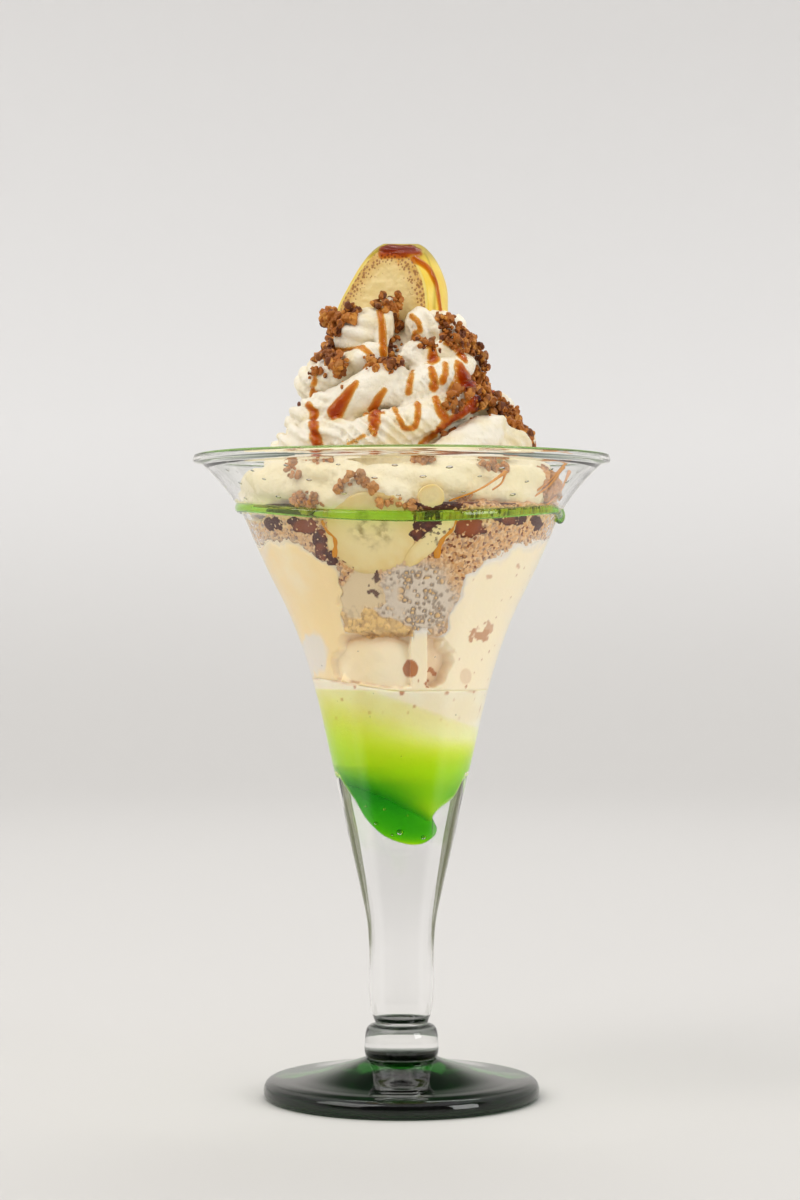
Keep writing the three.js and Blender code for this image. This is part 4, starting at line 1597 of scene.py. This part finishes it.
@dataclass
class Swirl:
    """The whipped cream: ropes piped over a core and melted into one mass."""

    voxel: float = 0.67  # mm, fine enough for the star nozzle's ridges
    past: float = 0.2  # mm that the cream goes past the wall's surface, so that no air shows between

    FRONT = (
        Rope(-108, -16, 190.5, 197.5, 42.5, 43, 9, 0.16, 0.5, 5),
        Rope(-44, 44, 190.5, 196.5, 43, 42, 8.8, 0.18, 0.7, 5),
        Rope(24, 108, 192, 198.5, 41.5, 41, 8.4, 0.18, 0.5, 5),
        Rope(-104, -20, 199.5, 212, 38.2, 35.5, 7.2, 0.34, 1.2, 7),
        Rope(-46, 26, 205.5, 216, 35.5, 31.5, 6.8, 0.36, 2.2, 7),
        Rope(8, 60, 200.5, 214, 36, 36, 6.2, 0.1, 0.2, 4),
        Rope(50, 104, 208, 209, 36.5, 35, 7.2, 0.3, 0.8, 7),
        Rope(58, 104, 219.5, 217.5, 29.5, 30, 6.6, 0.3, 0.8, 7),
        Rope(-12, 50, 211.5, 223.5, 32.5, 29.5, 6.2, 0.36, 2.4, 7),
        Rope(-84, -34, 211, 221, 33, 31.5, 6.6, 0.3, 0.8, 6),
        Rope(-56, 2, 215, 229, 30.5, 27, 7, 0.12, 0.2, 3),
        Rope(-16, 54, 221.5, 233, 28.5, 26, 6.4, 0.36, 2.4, 8),
        Rope(-96, -38, 226.5, 231, 28, 26.5, 6.6, 0.3, 0.9, 6),
        Rope(-62, -12, 231, 236, 24.5, 21.5, 5.2, 0.14, 0.5, 3),
        Rope(-2, 30, 234, 236, 23.5, 22, 5, 0.14, 0.3, 4),
        Rope(22, 62, 235, 240, 22.5, 21, 4.4, 0.3, 0.8, 6),
        Rope(-84, -14, 239.5, 247.5, 18, 13.5, 7.2, 0.2, 0.6, 6),
        Rope(8, 78, 247, 240.5, 13.5, 18, 7.4, 0.24, 0.8, 6),
        Rope(46, 66, 236, 249, 20.5, 19.5, 3.8, 0.2, 0.3, 5),
        Rope(48, 104, 236.5, 229.5, 20, 21.5, 5.6, 0.2, 0.3, 5),
        Rope(-22, -14, 235, 254, 19.5, 15, 2.4, 0.1, 0.2, 4),
    )
    CORE = (
        (185.5, 37), (189, 41.5), (198, 38), (206, 33), (216, 28), (228, 21.5), (240, 14.5), (249, 8),
        (252, 4),
    )

    def ropes(self) -> list[Rope]:
        """The shown ropes and those round the back, laid in tiers.

        Returns:
            The ropes.
        """
        made = list(self.FRONT)
        rng = np.random.default_rng(23)
        for tier in range(5):
            for k in range(3):
                start = 100 + 58 * k + 17 * (tier % 3) + rng.uniform(-6, 6)
                height = 192 + 11.6 * tier
                reach = 37 - 5.2 * tier + (0 if tier else 1)
                climb = rng.uniform(5, 8.5)
                made.append(
                    Rope(start, start + 84, height, height + climb, reach, reach - 2.5,
                         7.8 - 0.3 * tier, 0.32, rng.uniform(0.4, 1.8))
                )
        return made

    def build(self) -> Piece:
        """Makes the mass of cream; it is dressed once sauce and crumbs are laid on it.

        Returns:
            The piece.
        """
        rows = np.array(self.CORE)[:, ::-1]
        skins = [turned(smooth_path(rows, 30), 72), *(rope.skin() for rope in self.ropes())]
        piece = fused(build_piece("whipped_cream_swirl", reduce(Skin.joined, skins)), self.voxel, 1)
        points, away = surface_of(piece)
        torn = ease(0.1, 0.8, cloud(points, 9, 104, 1) + 0.4)
        rough = (
            0.5 * cloud(points, 8, 101, 2)
            + 0.3 * cloud(points, 2.6, 102, 2)
            + 0.75 * torn * (0.5 - np.abs(cloud(points, 2, 105, 2)))
            + 0.5 * ease(0.5, 1.1, cloud(points, 4, 103, 2))
        )
        points = Trumpet().kept_inside(points + away * rough[:, None], self.past)
        piece.data.vertices.foreach_set("co", (points * MM).ravel())
        piece.data.update()
        patchy = np.clip(0.8 + 0.4 * cloud(points, 9, 106), 0, 1)
        note(piece, "pressed", ease(207, 200, points[:, 2]) * patchy)
        return piece


@dataclass(frozen=True)
class Run:
    """A run of sauce or a trail of crumbs over a surface, by right and height in mm.

    back is the side that it is seen from, in degrees; widths are half widths.
    """

    path: tuple[Pair, ...]
    start: float
    end: float
    back: float = 0.0

    def laid_on(self, tree: BVHTree) -> tuple[Array, Array]:
        """Points about 0.8 mm apart where the run lies on a surface, and its half width at each.

        Args:
            tree: Tree of the surface.

        Returns:
            The points and the half widths, both in mm.
        """
        knots = np.array(self.path, float)
        if len(knots) == 1:
            knots = np.vstack([knots, knots + [0, 0.1]])
        length = np.linalg.norm(np.diff(knots, axis=0), axis=1).sum()
        line = smooth_path(knots, max(3, int(length / 0.8)))
        turn = math.radians(self.back)
        right = Vector((math.cos(turn), math.sin(turn), 0))
        ahead = Vector((-math.sin(turn), math.cos(turn), 0))
        found, widths = [], []
        for k, (x, z) in enumerate(line):
            origin = (right * float(x) - ahead * 120 + Vector((0, 0, float(z)))) * MM
            hit = tree.ray_cast(origin, ahead)[0]
            if hit is not None:
                found.append(np.array(hit) / MM)
                widths.append(self.start + (self.end - self.start) * k / max(1, len(line) - 1))
        return np.array(found).reshape(-1, 3), np.array(widths)


def laid(runs: tuple[Run, ...], tree: BVHTree, points: Array) -> tuple[Array, Array]:
    """How runs cover points: 1 on a run's middle, 0 at its edge, negative off it; and its half width.

    Args:
        runs: The runs.
        tree: Tree of the surface that they lie on.
        points: Points on the surface, in mm.

    Returns:
        The cover and the half width at each point.
    """
    best, broad = np.full(len(points), -9.0), np.ones(len(points))
    for run in runs:
        spots, widths = run.laid_on(tree)
        if not len(spots):
            continue
        low, high = spots.min(0) - 8, spots.max(0) + 8.0
        near = np.flatnonzero(np.all((points > low) & (points < high), axis=1))
        if not len(near):
            continue
        gap = np.linalg.norm(points[near][:, None, :] - spots[None], axis=2) / widths[None]
        nearest = gap.argmin(axis=1)
        depth = 1 - gap[np.arange(len(near)), nearest]
        better = depth > best[near]
        best[near[better]] = depth[better]
        broad[near[better]] = widths[nearest[better]]
    return best, broad


def surface_tree(piece: Piece) -> BVHTree:
    """A tree for casting rays at a piece, in metres."""
    mesh = piece.data
    return BVHTree.FromPolygons([v.co for v in mesh.vertices], [p.vertices for p in mesh.polygons])


@dataclass
class Sauce:
    """Caramel poured over a surface, as one closed coat that dips under it at its edges."""

    runs: tuple[Run, ...]
    margin: float = 0.6  # half widths past a run's edge that the coat is made from
    sunk: float = 0.9  # mm that its underside lies under the surface

    def build(self, name: str, base: Piece) -> Piece:
        """Makes the coat over a piece and dresses it.

        Args:
            name: Name of the coat.
            base: Piece that the coat lies on.

        Returns:
            The coat.
        """
        tree = surface_tree(base)
        near = laid(self.runs, tree, surface_of(base)[0])[0]
        kept = near > -self.margin
        mesh = bmesh.new()
        mesh.from_mesh(base.data)
        mesh.verts.ensure_lookup_table()
        far = [f for f in mesh.faces if not all(kept[v.index] for v in f.verts)]
        bmesh.ops.delete(mesh, geom=far, context="FACES")
        bmesh.ops.subdivide_edges(mesh, edges=mesh.edges[:], cuts=1, use_grid_fill=True)
        mesh.normal_update()
        skin = skin_of(mesh)
        points, faces = skin.points / MM, skin.faces
        away = np.array([v.normal[:] for v in mesh.verts])
        edges = [
            (loop.vert.index, loop.link_loop_next.vert.index)
            for face in mesh.faces
            for loop in face.loops
            if loop.edge.is_boundary
        ]
        mesh.free()
        depth, broad = laid(self.runs, tree, points)
        depth = depth + 0.10 * cloud(points, 2.2, 111, 2)
        crest = 0.15 + 0.42 * np.minimum(broad, 3.4)
        height = crest * np.clip(depth, 0, 1) ** 0.6 - 0.45 * ease(0.05, -0.25, depth)
        top, under = points + away * height[:, None], points - away * self.sunk
        count = len(points)
        walls = [(b, a, a + count, b + count) for a, b in edges]
        flipped = [tuple(i + count for i in face[::-1]) for face in faces]
        coat = build_piece(name, Skin(np.vstack([top, under]), faces + flipped + walls))
        return dress(coat, CARAMEL.make())


# ---- crumbs


def crumb_shapes(count: int, seed: int) -> list[Piece]:
    """A few different crumbs of about a millimetre's radius, of 80 faces each.

    Args:
        count: How many to make.
        seed: Start of the random numbers.

    Returns:
        The crumbs, each a piece of its own.
    """
    made = []
    for k in range(count):
        skin = ball(2)
        lumps = 1.0 + 0.34 * cloud(skin.points + 9.0 * k, 0.8, seed + k)
        lumps += 0.2 * cloud(skin.points, 0.45, seed - k)
        skin.points = skin.points * lumps[:, None] * np.array([1.15, 0.95, 0.8])
        made.append(build_piece(f"crumb_shape_{k}", skin, smooth=False))
    return made


def scatter_tree(name: str, shapes: list[Piece], material: Material) -> Tree:
    """Geometry Nodes that strew crumbs over a surface and heap them where it says.

    Args:
        name: Name of the tree.
        shapes: Crumbs to choose from.
        material: Finish of the crumbs.

    Returns:
        The tree; its output is plain mesh.
    """
    tree = bpy.data.node_groups.new(name, "GeometryNodeTree")
    face = tree.interface
    face.new_socket("Surface", in_out="INPUT", socket_type="NodeSocketGeometry")
    for label, kind, value in (
        ("Crumbs per square metre", "NodeSocketFloat", 100000.0),
        ("Smallest", "NodeSocketFloat", 0.4),
        ("Largest", "NodeSocketFloat", 1.2),
        ("Seed", "NodeSocketInt", 1),
    ):
        face.new_socket(label, in_out="INPUT", socket_type=kind).default_value = value
    face.new_socket("Crumbs", in_out="OUTPUT", socket_type="NodeSocketGeometry")
    source = tree.nodes.new("NodeGroupInput").outputs
    heap, pile = (
        add_node(tree, "GeometryNodeInputNamedAttribute", {"data_type": "FLOAT", "Name": name})
        for name in ("crumb", "pile")
    )
    drawn = []  # random numbers for each crumb: its lift, shape, turn and size
    for first, low, high, kind, shift in (
        (2, 0, 1, "FLOAT", 5),
        (4, 0, len(shapes) - 1, "INT", 7),
        (0, (0, 0, 0), (TURN, TURN, TURN), "FLOAT_VECTOR", 11),
        (2, source["Smallest"], source["Largest"], "FLOAT", 17),
    ):
        seed = {"operation": "ADD", 0: source["Seed"], 1: float(shift)}
        draw = {"data_type": kind, first: low, first + 1: high}
        draw["Seed"] = add_node(tree, "ShaderNodeMath", seed).outputs[0]
        drawn.append(add_node(tree, "FunctionNodeRandomValue", draw).outputs[first // 2])
    density = {"operation": "MULTIPLY", 0: source["Crumbs per square metre"], 1: heap.outputs["Attribute"]}
    where = {"distribute_method": "RANDOM", "Mesh": source["Surface"], "Seed": source["Seed"]}
    where["Density"] = add_node(tree, "ShaderNodeMath", density).outputs[0]
    strewn = add_node(tree, "GeometryNodeDistributePointsOnFaces", where).outputs
    lift = {"operation": "MULTIPLY", 0: pile.outputs["Attribute"], 1: drawn[0]}
    lift = add_node(tree, "ShaderNodeMath", lift).outputs[0]
    offset = {"operation": "SCALE", 0: strewn["Normal"], "Scale": lift}
    offset = add_node(tree, "ShaderNodeVectorMath", offset).outputs[0]
    heaped = {"Geometry": strewn["Points"], "Offset": offset}
    choice = add_node(tree, "GeometryNodeJoinGeometry")
    for shape in shapes:
        info = add_node(tree, "GeometryNodeObjectInfo", {"Object": shape, "As Instance": True})
        tree.links.new(info.outputs["Geometry"], choice.inputs["Geometry"])
    laid_out = {
        "Pick Instance": True, "Instance": choice.outputs["Geometry"], "Instance Index": drawn[1],
        "Points": add_node(tree, "GeometryNodeSetPosition", heaped).outputs["Geometry"],
        "Rotation": drawn[2], "Scale": drawn[3],
    }
    crumbs = add_node(tree, "GeometryNodeInstanceOnPoints", laid_out).outputs["Instances"]
    real = add_node(tree, "GeometryNodeRealizeInstances", {"Geometry": crumbs}).outputs["Geometry"]
    finish = add_node(tree, "GeometryNodeSetMaterial", {"Geometry": real, "Material": material})
    out = tree.nodes.new("NodeGroupOutput")
    tree.links.new(finish.outputs["Geometry"], out.inputs["Crumbs"])
    return tree


@dataclass(frozen=True)
class Strewing:
    """How many crumbs of what size are strewn, per square metre and in millimetres' radius."""

    density: float
    smallest: float
    largest: float
    seed: int

    def over(self, base: Piece, tree: Tree, name: str) -> Piece:
        """Strews crumbs over a piece as a piece of their own.

        Args:
            base: Piece that the crumbs lie on.
            tree: Node tree that strews them.
            name: Name of the new piece.

        Returns:
            The crumbs as one piece.
        """
        holder = placed(name, base.data.copy())
        nodes = holder.modifiers.new("strew", "NODES")
        nodes.node_group = tree
        values = {"Crumbs per square metre": self.density, "Seed": self.seed}
        values |= {"Smallest": self.smallest, "Largest": self.largest}
        for item in tree.interface.items_tree:
            if item.name in values:
                nodes[item.identifier] = values[item.name]
        return applied(holder)


def lump(middle: Triple, size: Triple, seed: int) -> Skin:
    """A clump of biscuit: small crumbs stuck into an uneven ball."""
    skin = ball(6)
    points = skin.points * np.array(size)
    grow = 0.9 * cloud(points, 3.4, seed, 2) - 1.1 * ease(0.3, 0.8, grains(points, 1.9, seed)) + 0.3
    return Skin(points + skin.points * grow[:, None] + np.array(middle), skin.faces)


@dataclass
class Topping:
    """Sauce, crumbs and clumps on the cream and the banana."""

    cream: Piece
    peel: Piece
    shape: Trumpet

    DRIPS = (
        Run(((-29, 219.6), (-27.6, 218.4), (-27.2, 213), (-26, 207)), 1.5, 2.2),
        Run(((-14.2, 226), (-17.6, 221.6), (-20.6, 217.4)), 1.3, 2.9),
        Run(((-26.6, 231), (-27.8, 226), (-28, 223.2)), 1, 1.4),
        Run(((-5.4, 223.7), (-7.4, 220.8), (-8.6, 218.4)), 1.1, 1.9),
        Run(((-11, 216.4), (-6, 216.4)), 1.2, 1.2), Run(((-8, 216.2), (-8.6, 211.6)), 2.4, 1.7),
        Run(((-2.2, 218.2), (-0.6, 214.4), (1.4, 211.6), (3.8, 212), (4.9, 215), (5, 219.4)), 1, 1.3),
        Run(((3.4, 229.8), (2.6, 226), (2.2, 223.2)), 0.9, 1.3),
        Run(((9.2, 230.8), (10, 227), (10, 224.9)), 1.2, 1.8),
        Run(((13.6, 232.2), (13.4, 228.6), (12.8, 227)), 1.1, 1.6),
        Run(((17.4, 232.9), (16.8, 228), (14.6, 223.2)), 1.1, 1),
        Run(((9.6, 236.6), (9.9, 233.4)), 1.8, 2.2),
        Run(((10.4, 221.4), (11.6, 217.8), (13.4, 215.4)), 1.3, 1.8),
        Run(((14, 221), (13.2, 216.6)), 0.9, 1.2),
        Run(((3.2, 248.2), (5.4, 245.8), (5.8, 243.8)), 1.1, 1.2),
        Run(((4.4, 242.8), (4, 240.4)), 1.2, 1.5),
        Run(((-7.4, 252.8), (-6.2, 246), (-5.8, 239), (-5.6, 235.8)), 1.2, 1.5),
        Run(((22, 219.6), (16, 215.4), (10, 210.6), (6, 207.2)), 2.6, 1.2),
        Run(((18, 231), (20.5, 226), (24, 221)), 2.4, 4.6),
        Run(((24, 221), (28, 224), (29, 229)), 3.4, 1.6),
        Run(((-24.5, 240.6), (-19, 238.4), (-12, 238)), 1, 1),
        Run(((-12.6, 238), (-9.2, 235), (-8.4, 231.6)), 1.2, 0.9),
        Run(((-38.8, 214), (-39.4, 210.8)), 1, 1.2),
        Run(((14, 239.6), (17.6, 237.4), (19.4, 234)), 1.3, 1.8), Run(((7.4, 238.2), (9.4, 239)), 1.4, 1.4),
        Run(((-11.6, 209.4), (-16.4, 207)), 0.9, 0.7),
    )
    PEEL_RUNS = (
        Run(((-5.8, 269), (0, 268.8), (4.6, 269)), 2, 2), Run(((-4.8, 270), (3.6, 270)), 2.8, 2.8),
        Run(((-3.4, 271.2), (2.4, 271.2)), 2.6, 2.6),
        Run(((4, 267), (8, 264.2), (10.4, 260.4), (11.6, 255), (12.4, 249), (12.6, 243)), 1.5, 1.1),
        Run(((-1, 266.6), (-0.8, 264.8)), 0.7, 0.6), Run(((6, 268), (-2, 262), (-3, 252)), 1.4, 1, 170),
    )
    HEAPS = (
        Run(((-24, 248.2), (-20.4, 245.6)), 4.4, 3.6), Run(((-18.6, 246), (-14.4, 250.4)), 3.4, 3),
        Run(((-6, 252), (-1, 253.2), (3.4, 252)), 3.2, 2.6), Run(((-2.4, 249), (-1.6, 245)), 2.6, 2.2),
        Run(((-2.4, 240.4), (-4, 236), (-2.6, 231.6)), 2.6, 4), Run(((-10, 233.6), (-9, 231.4)), 2, 2.2),
        Run(((-29.4, 238.8), (-25, 235.8), (-19.4, 232.4)), 3.6, 3.4),
        Run(((-28.6, 231), (-24, 230.6)), 1.4, 1.2),
        Run(((11.6, 247.4), (15.4, 245.6), (19, 242), (20.8, 237.6)), 2.2, 3.2),
        Run(((20.6, 240.6), (23.4, 237), (24, 232), (23.6, 226.6)), 3.4, 4.6),
        Run(((15.4, 219.6), (21, 222.4), (27.6, 222), (32, 218.6), (35, 214.6)), 2.8, 4.4),
        Run(((22.4, 228.4), (27.6, 226)), 4, 4.4), Run(((5, 239.6), (11, 237.8)), 1.8, 1.6),
        Run(((12.4, 243.6), (16.6, 239.4)), 1.8, 2.4),
        Run(((-18, 193.8), (-13, 195.8), (-9, 193.4)), 1.7, 1.5),
        Run(((-6, 190), (4, 188.6), (16, 187.6), (26, 188)), 0.9, 2.4),
        Run(((-32, 191), (-26, 189.4)), 2.4, 3), Run(((16, 189.4), (20, 191.4)), 1.9, 1.5),
        Run(((-34.6, 200.6), (-32.4, 197.6)), 2, 1.6), Run(((24, 200), (31, 199.4)), 1.6, 1.8),
        Run(((5, 202.2), (8.4, 201.8)), 1.4, 1.4), Run(((-28.6, 202.4), (-22, 202)), 1.2, 1.4),
    )

    def back_drips(self) -> tuple[Run, ...]:
        """Drips round the sides and back, each down from a crest.

        Returns:
            The runs.
        """
        rng = np.random.default_rng(31)
        made = []
        for k in range(17):
            height = rng.uniform(212, 246)
            length = rng.uniform(4, 12)
            side = rng.uniform(-6, 6)
            half_way = (side + rng.uniform(-1, 1), height - 0.5 * length)
            path = ((side, height), half_way, (side + rng.uniform(-2, 1), height - length))
            made.append(Run(path, rng.uniform(0.9, 1.5), rng.uniform(1.2, 2.2), 80 + 12.5 * k))
        return tuple(made)

    def back_heaps(self) -> tuple[Run, ...]:
        """Crumb trails round the back."""
        return tuple(
            Run(((-9, height), (0, height + 2.5), (8, height + 1)), 2.4, 3.4, back)
            for back, height in (
                (95, 226), (125, 240), (150, 218), (182, 232), (205, 246), (232, 222), (262, 238),
                (140, 193), (215, 192),
            )
        )

    def crumbs(self) -> None:
        """Heaps where they lie thick, and a light dusting."""
        tree = surface_tree(self.cream)
        points, away = surface_of(self.cream)
        depth = laid(self.HEAPS + self.back_heaps(), tree, points)[0] + 0.22 * cloud(points, 4.0, 121, 2)
        thick = ease(0.0, 0.45, depth)
        upward = ease(-0.3, 0.5, away[:, 2])
        dust = 0.05 * ease(0.1, 0.9, cloud(points, 14.0, 122, 2)) * upward * (points[:, 2] > 204)
        note(self.cream, "crumb", np.maximum(thick, dust))
        note(self.cream, "pile", 2.6 * MM * thick)
        shapes = crumb_shapes(5, 131)
        finish = CRUMB.make()
        nodes = scatter_tree("strewn crumb", shapes, finish)
        for name, how in (
            ("biscuit_crumbs_small", Strewing(700000.0, 0.4, 0.85, 3)),
            ("biscuit_crumbs_large", Strewing(280000.0, 0.8, 1.6, 4)),
        ):
            dress(how.over(self.cream, nodes, name), finish)
        for shape in shapes:
            bpy.data.objects.remove(shape)

    def clumps(self) -> None:
        """The loose clumps and the heap beside the cream."""
        finish = CRUMB.make()
        for node, middle, size, seed in (
            ("biscuit_lump_left", (-22.6, -9.5, 248.4), (3.6, 3.4, 3.2), 141),
            ("biscuit_lump_right", (38, -14, 211), (3.4, 3.2, 3), 142),
            ("biscuit_heap_right", (41.5, -14.5, 195), (8.6, 10.4, 6.6), 143),
        ):
            skin = lump(middle, size, seed)
            skin.points = self.shape.kept_inside(skin.points, 0.25)
            dress(build_piece(node + "_clump", skin), finish, (node,))

    def strands(self) -> None:
        """Fine threads of caramel strung inside the flared wall."""
        skins = []
        for low, high in (
            ((53.4, -14, 204.4), (36.4, -31.6, 189.8)), ((50.6, -18, 201), (38.6, -30, 190.2)),
            ((53, -10, 199.6), (44.4, -24, 189.2)), ((31.4, -44.4, 198.4), (14.4, -49.4, 189.4)),
            ((31.6, -44.2, 198.8), (27.4, -43.6, 193)),
        ):
            middle = (np.array(low) + np.array(high)) / 2 + [0.6, -0.4, -0.8]
            across = 0.28 + 0.4 * np.exp(-np.linspace(0, 6, 24))
            skins.append(tube(smooth_path(np.array([low, middle, high]), 24), across, sides=8))
        skin = reduce(Skin.joined, skins)
        skin.points = self.shape.kept_inside(skin.points, 0.1, 202.4)
        dress(build_piece("caramel_strands", skin), AMBER.make())

    def dribbles(self) -> None:
        """Caramel that ran down the slices between them and the glass."""
        skins = []
        for knots, start, end in (
            (((-24, 183.6), (-22.6, 180.8), (-20.2, 178.4), (-20, 175.4), (-20.4, 172.6)), 0.45, 1),
            (((16.6, 184.4), (15.2, 181), (12.4, 178.2), (11, 175), (10.6, 172.2)), 0.5, 1.1),
        ):
            line = smooth_path(np.array(knots), 30)
            path = WallPatch((0, 0), (1, 1)).on_wall(self.shape, line[:, 0], line[:, 1], 0.1)
            outward = path * [1, 1, 0] / np.hypot(path[:, 0], path[:, 1])[:, None]
            across = np.linspace(start, end, 30) * (1 + 0.15 * np.sin(np.arange(30) * 0.8))
            skins.append(tube(path, across, flat=0.45, up=outward))
        dress(build_piece("caramel_on_slices", reduce(Skin.joined, skins)), AMBER.make())

    def build(self) -> None:
        """Lays everything on, then dresses the cream under it."""
        Sauce(self.DRIPS + self.back_drips()).build("caramel_drips", self.cream)
        Sauce(self.PEEL_RUNS).build("caramel_on_banana", self.peel)
        for lay in (self.crumbs, self.clumps, self.strands, self.dribbles):
            lay()
        dress(self.cream, CREAM.make(), ("whipped_cream",))


# ---- studio


@dataclass
class Studio:
    """A pale seamless bowl of paper, soft lights, cards for the glass's edges, and the camera, in m."""

    floor_radius: float = 1.45
    wall_radius: float = 2.35
    height: float = 2.3
    sides: int = 96
    gap: float = 0.00005  # between the paper and the foot
    room_radius: float = 2.25
    room_height: float = 2.2
    card_radius: float = 0.2
    card_heights: Pair = (0.026, 0.09)
    card_half: float = 21.0  # degrees
    aim: Triple = (0.0, 0.0, 0.16)
    eye: Triple = (-0.00048, -0.915, 0.159)
    lens: float = 85.65  # mm, for a sensor 36 mm wide

    def strips(self, rows: int, columns: int) -> list[tuple[int, ...]]:
        """Faces between rows of points."""
        starts = [row * columns + k for row in range(rows - 1) for k in range(columns - 1)]
        return [(a, a + 1, a + columns + 1, a + columns) for a in starts]

    def staged(self, name: str, skin: Skin, finish: Finish) -> Piece:
        """A stage piece from a skin in m.

        Args:
            name: Name of the piece.
            skin: Its points in m, and its faces.
            finish: What it looks like.

        Returns:
            The piece.
        """
        mesh = bpy.data.meshes.new(name)
        mesh.from_pydata(skin.points, [], skin.faces)
        mesh.materials.append(finish.make())
        piece = placed(name, mesh)
        return piece

    def sweep(self) -> None:
        """The seamless floor and wall."""
        bend = self.wall_radius - self.floor_radius
        profile = [(r, 0.0) for r in np.linspace(0.05, self.floor_radius, 16)]
        profile += [
            (self.floor_radius + bend * math.sin(t), bend * (1 - math.cos(t)))
            for t in np.linspace(0, math.pi / 2, 16)[1:]
        ]
        profile.append((self.wall_radius, self.height))
        cos, sin = circle(self.sides)
        points, faces = [(0.0, 0.0, -self.gap)], []
        for r, z in profile:
            points += [(r * c, r * s, z - self.gap) for c, s in zip(cos, sin)]
        for j in range(self.sides):
            a, b = 1 + j, 1 + (j + 1) % self.sides
            faces.append((0, a, b))
            for i in range(0, self.sides * (len(profile) - 1), self.sides):
                faces.append((a + i, a + i + self.sides, b + i + self.sides, b + i))
        paper = self.staged("seamless_paper", Skin(points, faces), PAPER)
        paper.data.polygons.foreach_set("use_smooth", [True] * len(faces))

    def board(self, name: str, skin: Skin, finish: Finish) -> Piece:
        """A matt board that neither the camera nor soft light sees."""
        made = self.staged(name, skin, finish)
        made.visible_camera = made.visible_shadow = made.visible_diffuse = False
        return made

    def card(self, name: str, azimuth: float) -> None:
        """A low upright card behind the glass that gives its edges a tone.

        Args:
            name: Its name.
            azimuth: Angle of its middle from straight behind the glass, in degrees.
        """
        turns = np.radians(azimuth + np.linspace(-self.card_half, self.card_half, 9))
        arc = [(self.card_radius * math.sin(t), self.card_radius * math.cos(t)) for t in turns]
        corners = [(x, y, z) for z in self.card_heights for x, y in arc]
        self.board(name, Skin(corners, self.strips(2, 9)), CARD).visible_glossy = False

    def dark_room(self) -> None:
        """The dim studio in front, seen only in reflections, and high behind, seen in reflections and through
        the glass.
        """
        corners = []
        for radius, z in ((0.1, 0.001), (self.room_radius, 0.001), (self.room_radius, self.room_height)):
            turns = np.radians(np.linspace(-80, 80, 17))
            corners += [(radius * math.sin(t), -radius * math.cos(t), z) for t in turns]
        front = self.board("dim front", Skin(corners, self.strips(3, 17)), DIM_FRONT)
        front.visible_transmission = False
        high = [(x, 1.0, z) for x, z in ((-1.1, 0.12), (1.1, 0.12), (1.1, 1.6), (-1.1, 1.6))]
        self.board("dim wall", Skin(high, [(0, 1, 2, 3)]), DIM_WALL)

    def lamp(self, name: str, place: Triple, power: float, size: Pair, colour: str = "#ffffff") -> None:
        """A softbox that faces the middle of the sundae.

        Args:
            name: Name of the softbox.
            place: Its middle, in m.
            power: Its power in W.
            size: Its width and height, in m.
            colour: Hex colour of its light.
        """
        light = bpy.data.lights.new(name, "AREA")
        light.shape = "RECTANGLE"
        light.size, light.size_y = size
        light.energy = power
        light.color = linear(colour)[:3]
        lamp = placed(name, light)
        lamp.location = place
        lamp.rotation_euler = (Vector(self.aim) - Vector(place)).to_track_quat("-Z", "Y").to_euler()
        lamp.visible_transmission = False

    def camera(self) -> None:
        """A level camera in front, a little above the glass's middle."""
        optics = bpy.data.cameras.new("camera")
        optics.lens = self.lens
        optics.sensor_width = 36.0
        camera = placed("camera", optics)
        camera.location = self.eye
        camera.rotation_euler = (math.radians(90.0), 0.0, 0.0)
        bpy.context.scene.camera = camera

    def build(self) -> None:
        """Sets the scene round the sundae."""
        self.sweep()
        world = bpy.data.worlds.new("soft ceiling")
        world.use_nodes = True
        sky = world.node_tree.nodes["Background"].inputs
        sky["Color"].default_value = linear("#fbfbfc")
        sky["Strength"].default_value = 0.9
        scene = bpy.context.scene
        scene.world = world
        scene.view_settings.view_transform = "Standard"
        self.dark_room()
        self.lamp("key", (-1.2, -0.75, 1.5), 19.0, (1.5, 1.5), "#fffcf8")
        self.lamp("fill", (1.35, -0.95, 0.66), 10.5, (0.7, 0.9))
        self.lamp("back", (0.2, 1.2, 1.7), 10.0, (1.4, 0.6))
        self.card("left card", -37.0)
        self.card("right card", 37.0)
        self.camera()
        for name, value in (
            ("max_bounces", 24), ("transmission_bounces", 22), ("transparent_max_bounces", 24),
            ("glossy_bounces", 6), ("diffuse_bounces", 4), ("caustics_reflective", False),
            ("caustics_refractive", False), ("sample_clamp_indirect", 6.0),
        ):
            setattr(scene.cycles, name, value)


# ---- everything


def main() -> None:
    """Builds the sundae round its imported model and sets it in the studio."""
    logging.basicConfig(level=logging.INFO, format="%(name)s: %(message)s")
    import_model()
    glass = Glass()
    glass.build()
    Filling(glass.shape).build()
    flesh = SLICE_FLESH.make()
    for one in SLICES:
        one.build(glass.shape, flesh)
    cream = Swirl().build()
    Topping(cream, BananaEnd().build(), glass.shape).build()
    Studio().build()
    LOG.info("built")


if __name__ == "__main__":
    main()
